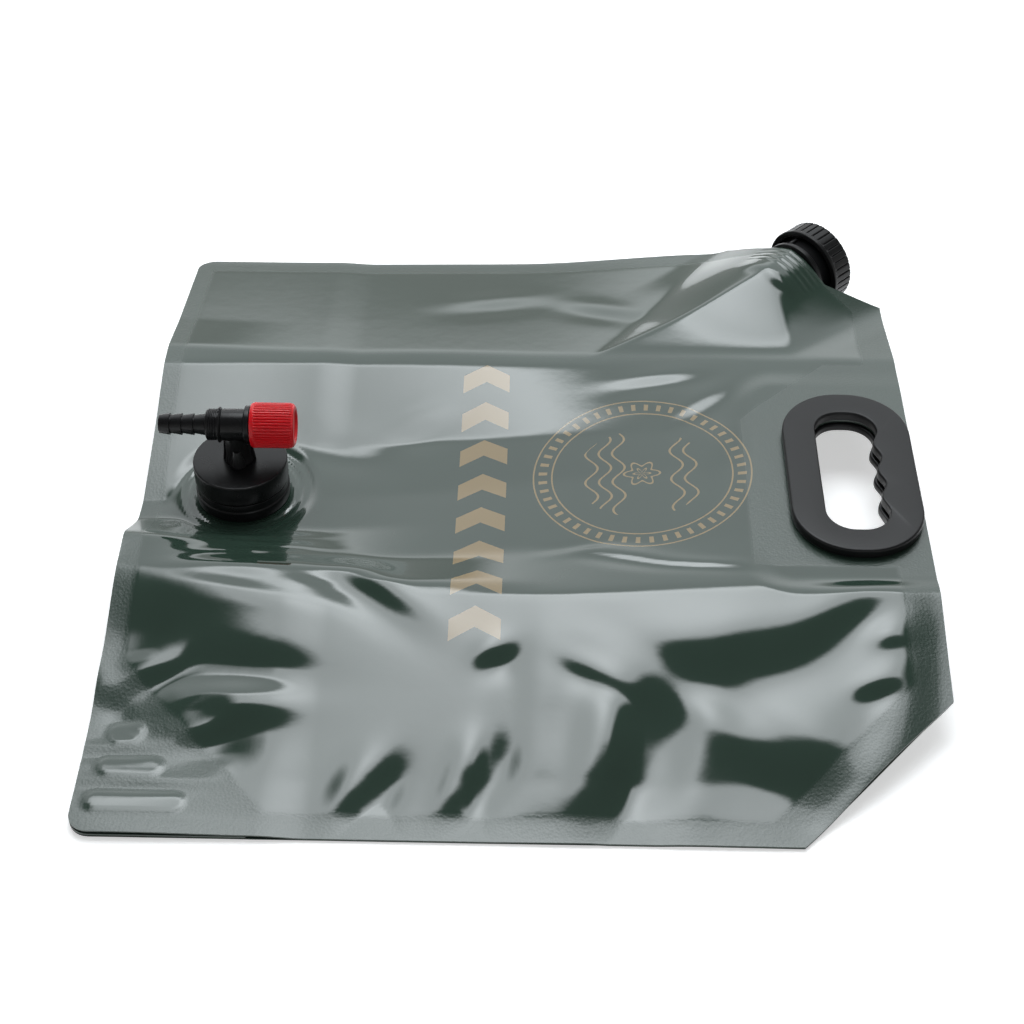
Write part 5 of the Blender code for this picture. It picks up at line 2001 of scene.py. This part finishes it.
    def build_body(self) -> None:
        """Builds the stem, its webs and boss, and the barrel across its top."""
        top, foot = self.closure_high, self.closure_high + SEAT_GAP
        seat, end = top - self.spigot_seat, top - self.spigot_end
        wide, spigot = self.stem_radius, self.spigot_radius
        stem = lathed("stem", (
            (0.0, self.stem_top, 0.0), (wide, self.stem_top, 0.0), (wide, top + 0.0040, 0.0020),
            (wide + 0.0008, foot, 0.0003), (spigot, foot, 0.0), (spigot, seat, 0.0),
            (spigot + self.spigot_lip, seat, 0.0003), (spigot, end, 0.0003), (0.0, end, 0.0),
        ), 96, self.upright())
        high, low = top + self.boss_height, top + self.boss_gap
        boss = lathed("boss", (
            (0.0, high, 0.0), (self.boss_top, high, 0.0006), (self.boss_foot, low, 0.0005), (0.0, low, 0.0),
        ), 64, Matrix.Translation((TAP_CENTRE[0], TAP_CENTRE[1] - wide + self.boss_sink, 0)))
        back, front, outside = self.barrel_back, self.barrel_front, self.barrel_radius
        chamber, port, socket = self.seat_radius, self.port_radius, self.nozzle_socket
        barrel = lathed("barrel", (
            (outside, back, 0.0005), (outside, front, 0.0002), (chamber, front, 0.0),
            (chamber, self.seat_depth, 0.0), (port, self.seat_depth, 0.0), (port, self.port_depth, 0.0),
            (socket, self.port_depth, 0.0), (socket, back, 0.0),
        ), place=self.along())
        body = joined("tap_stem_and_barrel", (stem, boss, *self.webs(), barrel))
        piece(body, Body.TAP, self.finishes.black, ("tap_body",))

    def build_nozzle(self) -> None:
        """Builds the threaded collar and the barbed hose tail, which point to -X."""
        joint = self.nozzle_joint + SEAT_GAP
        end = joint - self.collar_length
        tip = end - self.tail_length
        step, seat = joint + self.ring_step, joint + self.nozzle_seat_length
        ring, collar = self.barrel_radius + self.ring_step, self.barrel_radius - self.thread_step
        tail, bore, wide = self.tail_radius, self.nozzle_bore, self.nozzle_seat
        core = lathed("core", (
            (ring, step, 0.0003), (ring, joint, 0.0003), (collar, joint - 0.0001, 0.0),
            (collar, end, 0.0008), (tail, end, 0.0004), (tail, tip, 0.0006), (bore, tip, 0.0003),
            (bore, seat, 0.0), (wide, seat, 0.0), (wide, step, 0.0),
        ), 96)
        threaded = node_shape("threaded_collar", core, self.trees.threaded, {
            "Turns": 5.0, "Radius": collar, "Height": 0.0046, "Start": end + 0.0008, "Ridge": 0.0004,
            "Material": self.finishes.black,
        })
        pitch = self.tail_length / self.barbs
        barbed = node_shape("outlet_tail", threaded, self.trees.barbed, {
            "Barbs": float(self.barbs), "Pitch": pitch, "Thin Radius": tail, "Wide Radius": self.barb_radius,
            "Start": tip + 0.0002, "Cone": pitch - 0.0006, "Material": self.finishes.black,
        })
        (left, right), half = self.tab_reach, self.tab_half
        section = ((left, -half), (right, -half), (right, half), (left, half))
        loops = [[(x, y, z) for x, y in section] for z in (joint, step)]
        tab = shade(swept("collar_tab", loops, closed=False))
        nozzle = joined("hose_nozzle", (shade(barbed, 25), tab))
        nozzle.transform(self.along())
        piece(nozzle, Body.TAP, self.finishes.black, ("outlet_nozzle",))

    def build_bonnet(self) -> None:
        """Builds the bonnet: the flange ring and the tube that the knob runs over."""
        low = self.barrel_front + SEAT_GAP
        high = low + self.bonnet_length
        end, plug_end = high + self.tube_length, low - self.plug_length
        tube, ring, plug, bore = self.tube_radius, self.bonnet_radius, self.plug_radius, self.valve_bore
        bonnet = lathed("bonnet_ring", (
            (tube, end, 0.0005), (tube, high, 0.0002), (ring, high, 0.0007), (ring, low, 0.0005),
            (plug, low, 0.0), (plug, plug_end, 0.0), (bore, plug_end, 0.0), (bore, end, 0.0),
        ), place=self.along())
        piece(bonnet, Body.TAP, self.finishes.black, ("tap_bonnet",))

    def build_knob(self) -> None:
        """Builds the red knob with its grip ribs, round rims and dished end."""
        low = self.barrel_front + self.bonnet_length + 2 * SEAT_GAP
        high = low + self.knob_length
        radius, inside, bore = self.knob_radius, self.knob_radius - self.knob_wall, self.valve_bore
        under, pocket = high - self.knob_end, high - self.knob_pocket
        first, last = high - 0.0034, low + 0.0030
        steps = self.knob_rows - 1
        rows = [(radius - 0.0001, first + (last - first) * n / steps, 0.0) for n in range(self.knob_rows)]
        knob = lathed("knob", (
            (0.0, high - 0.0016, 0.0), (self.knob_dish_radius, high - 0.0014, 0.0010),
            (self.knob_face_radius, high, 0.0012),
            (radius - 0.0012, high - 0.0004, 0.0012), (radius - 0.0002, high - 0.0024, 0.0008), *rows,
            (radius, low + 0.0018, 0.0008), (radius - 0.0006, low, 0.0006), (inside, low, 0.0004),
            (inside, under, 0.0), (bore, under, 0.0), (bore, pocket, 0.0), (0.0, pocket, 0.0),
        ), self.knob_ribs * 12, degrees=40)
        ribbed = node_shape("ribbed_knob", knob, self.trees.fluted, {
            "Count": float(self.knob_ribs), "Depth": 0.00075, "Groove Share": 0.30, "Wall Radius": radius,
            "Low": low + 0.0016, "High": high - 0.0006, "Ease": 0.0014, "Material": self.finishes.red,
        }, self.along())
        piece(ribbed, Body.KNOB, self.finishes.red, ("tap_knob",))

    def build(self) -> None:
        """Builds and places the whole tap."""
        self.build_fitment()
        self.build_closure()
        self.build_body()
        self.build_nozzle()
        self.build_bonnet()
        self.build_knob()


def dress_frame_nodes(finishes: Finishes) -> None:
    """Gives the small seals and the spindle, whose frame shapes stay, their own finishes.

    Args:
        finishes: The carrier's finishes.
    """
    dressed = {
        "valve_spindle": finishes.black,
        "valve_seal": finishes.rubber,
        "spindle_o_ring": finishes.rubber,
        "nozzle_o_ring": finishes.rubber,
        "tap_gasket": finishes.rubber,
        "filler_cap_liner": finishes.rubber,
    }
    for node, material in dressed.items():
        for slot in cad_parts[node].material_slots:
            slot.material = material
        LOG.info("%s keeps its frame shape", node)


# Studio


@dataclass(frozen=True)
class SoftBox:
    """A soft lamp that faces the carrier.

    Its azimuth runs in degrees from +Y towards +X. A radiance of 1 is white, and the edge is the share of the
    lamp's size over which it fades.
    """

    name: str
    azimuth: float
    elevation: float
    distance: float
    size: Point2
    radiance: float
    edge: float = 0.17
    tint: tuple[float, float, float, float] = (0.955, 1.0, 1.03, 1.0)

    def hang(self) -> None:
        """Hangs the lamp in the scene."""
        light = bpy.data.lights.new(self.name, "AREA")
        light.shape = "RECTANGLE"
        light.size, light.size_y = self.size
        light.energy = math.pi * self.size[0] * self.size[1]
        light.use_nodes = True
        tree = light.node_tree
        tree.nodes.clear()
        place = add(tree, SPLIT, (add(tree, "ShaderNodeNewGeometry").outputs["Parametric"],))
        strength = self.radiance
        for axis in ("X", "Y"):
            inward = add(tree, MATH, (place.outputs[axis], 0.5), operation="PINGPONG")
            faded = add(tree, RANGE, (inward, 0.0, self.edge), interpolation_type="SMOOTHSTEP")
            strength = add(tree, MATH, (faded, strength), operation="MULTIPLY")
        glow = add(tree, "ShaderNodeEmission", {"Color": self.tint, "Strength": strength})
        add(tree, "ShaderNodeOutputLight", {"Surface": glow})
        turn, rise = math.radians(self.azimuth), math.radians(self.elevation)
        toward = Vector((math.sin(turn) * math.cos(rise), math.cos(turn) * math.cos(rise), math.sin(rise)))
        facing = toward.to_track_quat("Z", "Y").to_matrix().to_4x4()
        in_scene(self.name, light).matrix_world = Matrix.Translation(toward * self.distance) @ facing


@dataclass
class Studio:
    """A pale floor under soft lamps, and the camera."""

    pitch: float = 43.0
    yaw: float = 1.3
    distance: float = 1.009
    target_x: float = -0.007
    focal_pixels: float = 1930.0
    image: float = 1024.0
    sensor: float = 36.0
    floor_half: float = 8.0
    floor_drop: float = 0.0004
    floor_glow: float = 0.47
    lamps: tuple[SoftBox, ...] = (
        SoftBox("back_wall_light", 0, 37, 2.2, (3.8, 2.0), 1.5),
        SoftBox("overhead_soft_box", 0, 67, 1.7, (1.75, 1.08), 4.3),
        SoftBox("overhead_middle", 2, 66, 1.6, (1.05, 1.10), 3.0, edge=0.5),
        SoftBox("front_fill", 160, 40, 2.2, (0.9, 0.7), 1.6),
    )

    def camera(self) -> None:
        """Stands the camera where the photograph was taken from."""
        pitch, yaw = math.radians(self.pitch), math.radians(self.yaw)
        level = math.cos(pitch)
        forward = Vector((-math.sin(yaw) * level, math.cos(yaw) * level, -math.sin(pitch)))
        right = Vector((math.cos(yaw), math.sin(yaw), 0))
        up = right.cross(forward)
        lens = bpy.data.cameras.new("photo_camera")
        lens.sensor_width = self.sensor
        lens.lens = self.focal_pixels / self.image * self.sensor
        camera = in_scene("photo_camera", lens)
        turn = Matrix((right, up, -forward)).transposed().to_4x4()
        place = Vector((self.target_x, 0, 0)) - self.distance * forward
        camera.matrix_world = Matrix.Translation(place) @ turn
        bpy.context.scene.camera = camera

    def floor(self) -> None:
        """Lays the pale floor, which keeps the carrier's shadow."""
        material, tree = new_material("studio_floor")
        path = add(tree, "ShaderNodeLightPath")
        seen = 0.0
        for ray in ("Is Camera Ray", "Is Glossy Ray", "Is Transmission Ray"):
            seen = add(tree, MATH, (seen, path.outputs[ray]), operation="MAXIMUM")
        strength = add(tree, MATH, (seen, self.floor_glow), operation="MULTIPLY")
        paper = add(tree, "ShaderNodeBsdfDiffuse", {"Color": linear("#F2F2F2")})
        glow = add(tree, "ShaderNodeEmission", {"Color": linear("#FFFFFF"), "Strength": strength})
        both = add(tree, "ShaderNodeAddShader", (paper, glow))
        add(tree, SURFACE, {"Surface": both})
        half = self.floor_half
        corners = [(-half, -half, 0), (half, -half, 0), (half, half, 0), (-half, half, 0)]
        mesh = mesh_of("studio_floor", corners, [(0, 1, 2, 3)])
        mesh.materials.append(material)
        floor = in_scene("studio_floor", mesh)
        floor.location = (0, 0, -self.floor_drop)

    def surround(self) -> None:
        """Makes the surround white at the horizon and dim overhead, as in a room with white walls."""
        world = bpy.data.worlds.new("studio_surround")
        world.use_nodes = True
        tree = world.node_tree
        tree.nodes.clear()
        direction = add(tree, "ShaderNodeTexCoord").outputs["Generated"]
        parts = add(tree, SPLIT, (direction,))
        rise = (parts.outputs["Z"], 0.22, 0.62, 0.62, 0.12)
        level = add(tree, RANGE, rise, interpolation_type="SMOOTHSTEP")
        sky = add(tree, "ShaderNodeBackground", {"Color": linear("#FFFFFF"), "Strength": level})
        add(tree, "ShaderNodeOutputWorld", {"Surface": sky})
        bpy.context.scene.world = world

    def build(self) -> None:
        """Sets the camera, floor, surround and lamps."""
        self.camera()
        self.floor()
        self.surround()
        for lamp in self.lamps:
            lamp.hang()
        bpy.context.scene.view_settings.view_transform = "Standard"


def main() -> None:
    """Builds the studio and every sub-assembly."""
    logging.basicConfig(level=logging.INFO, format="%(message)s")
    Studio().build()
    finishes = Finishes()
    trees = NodeTrees()
    FilmBag(finishes).build()
    CarryHandle(finishes).build()
    Filler(finishes, trees).build()
    Tap(finishes, trees).build()
    dress_frame_nodes(finishes)


if __name__ == "__main__":
    main()
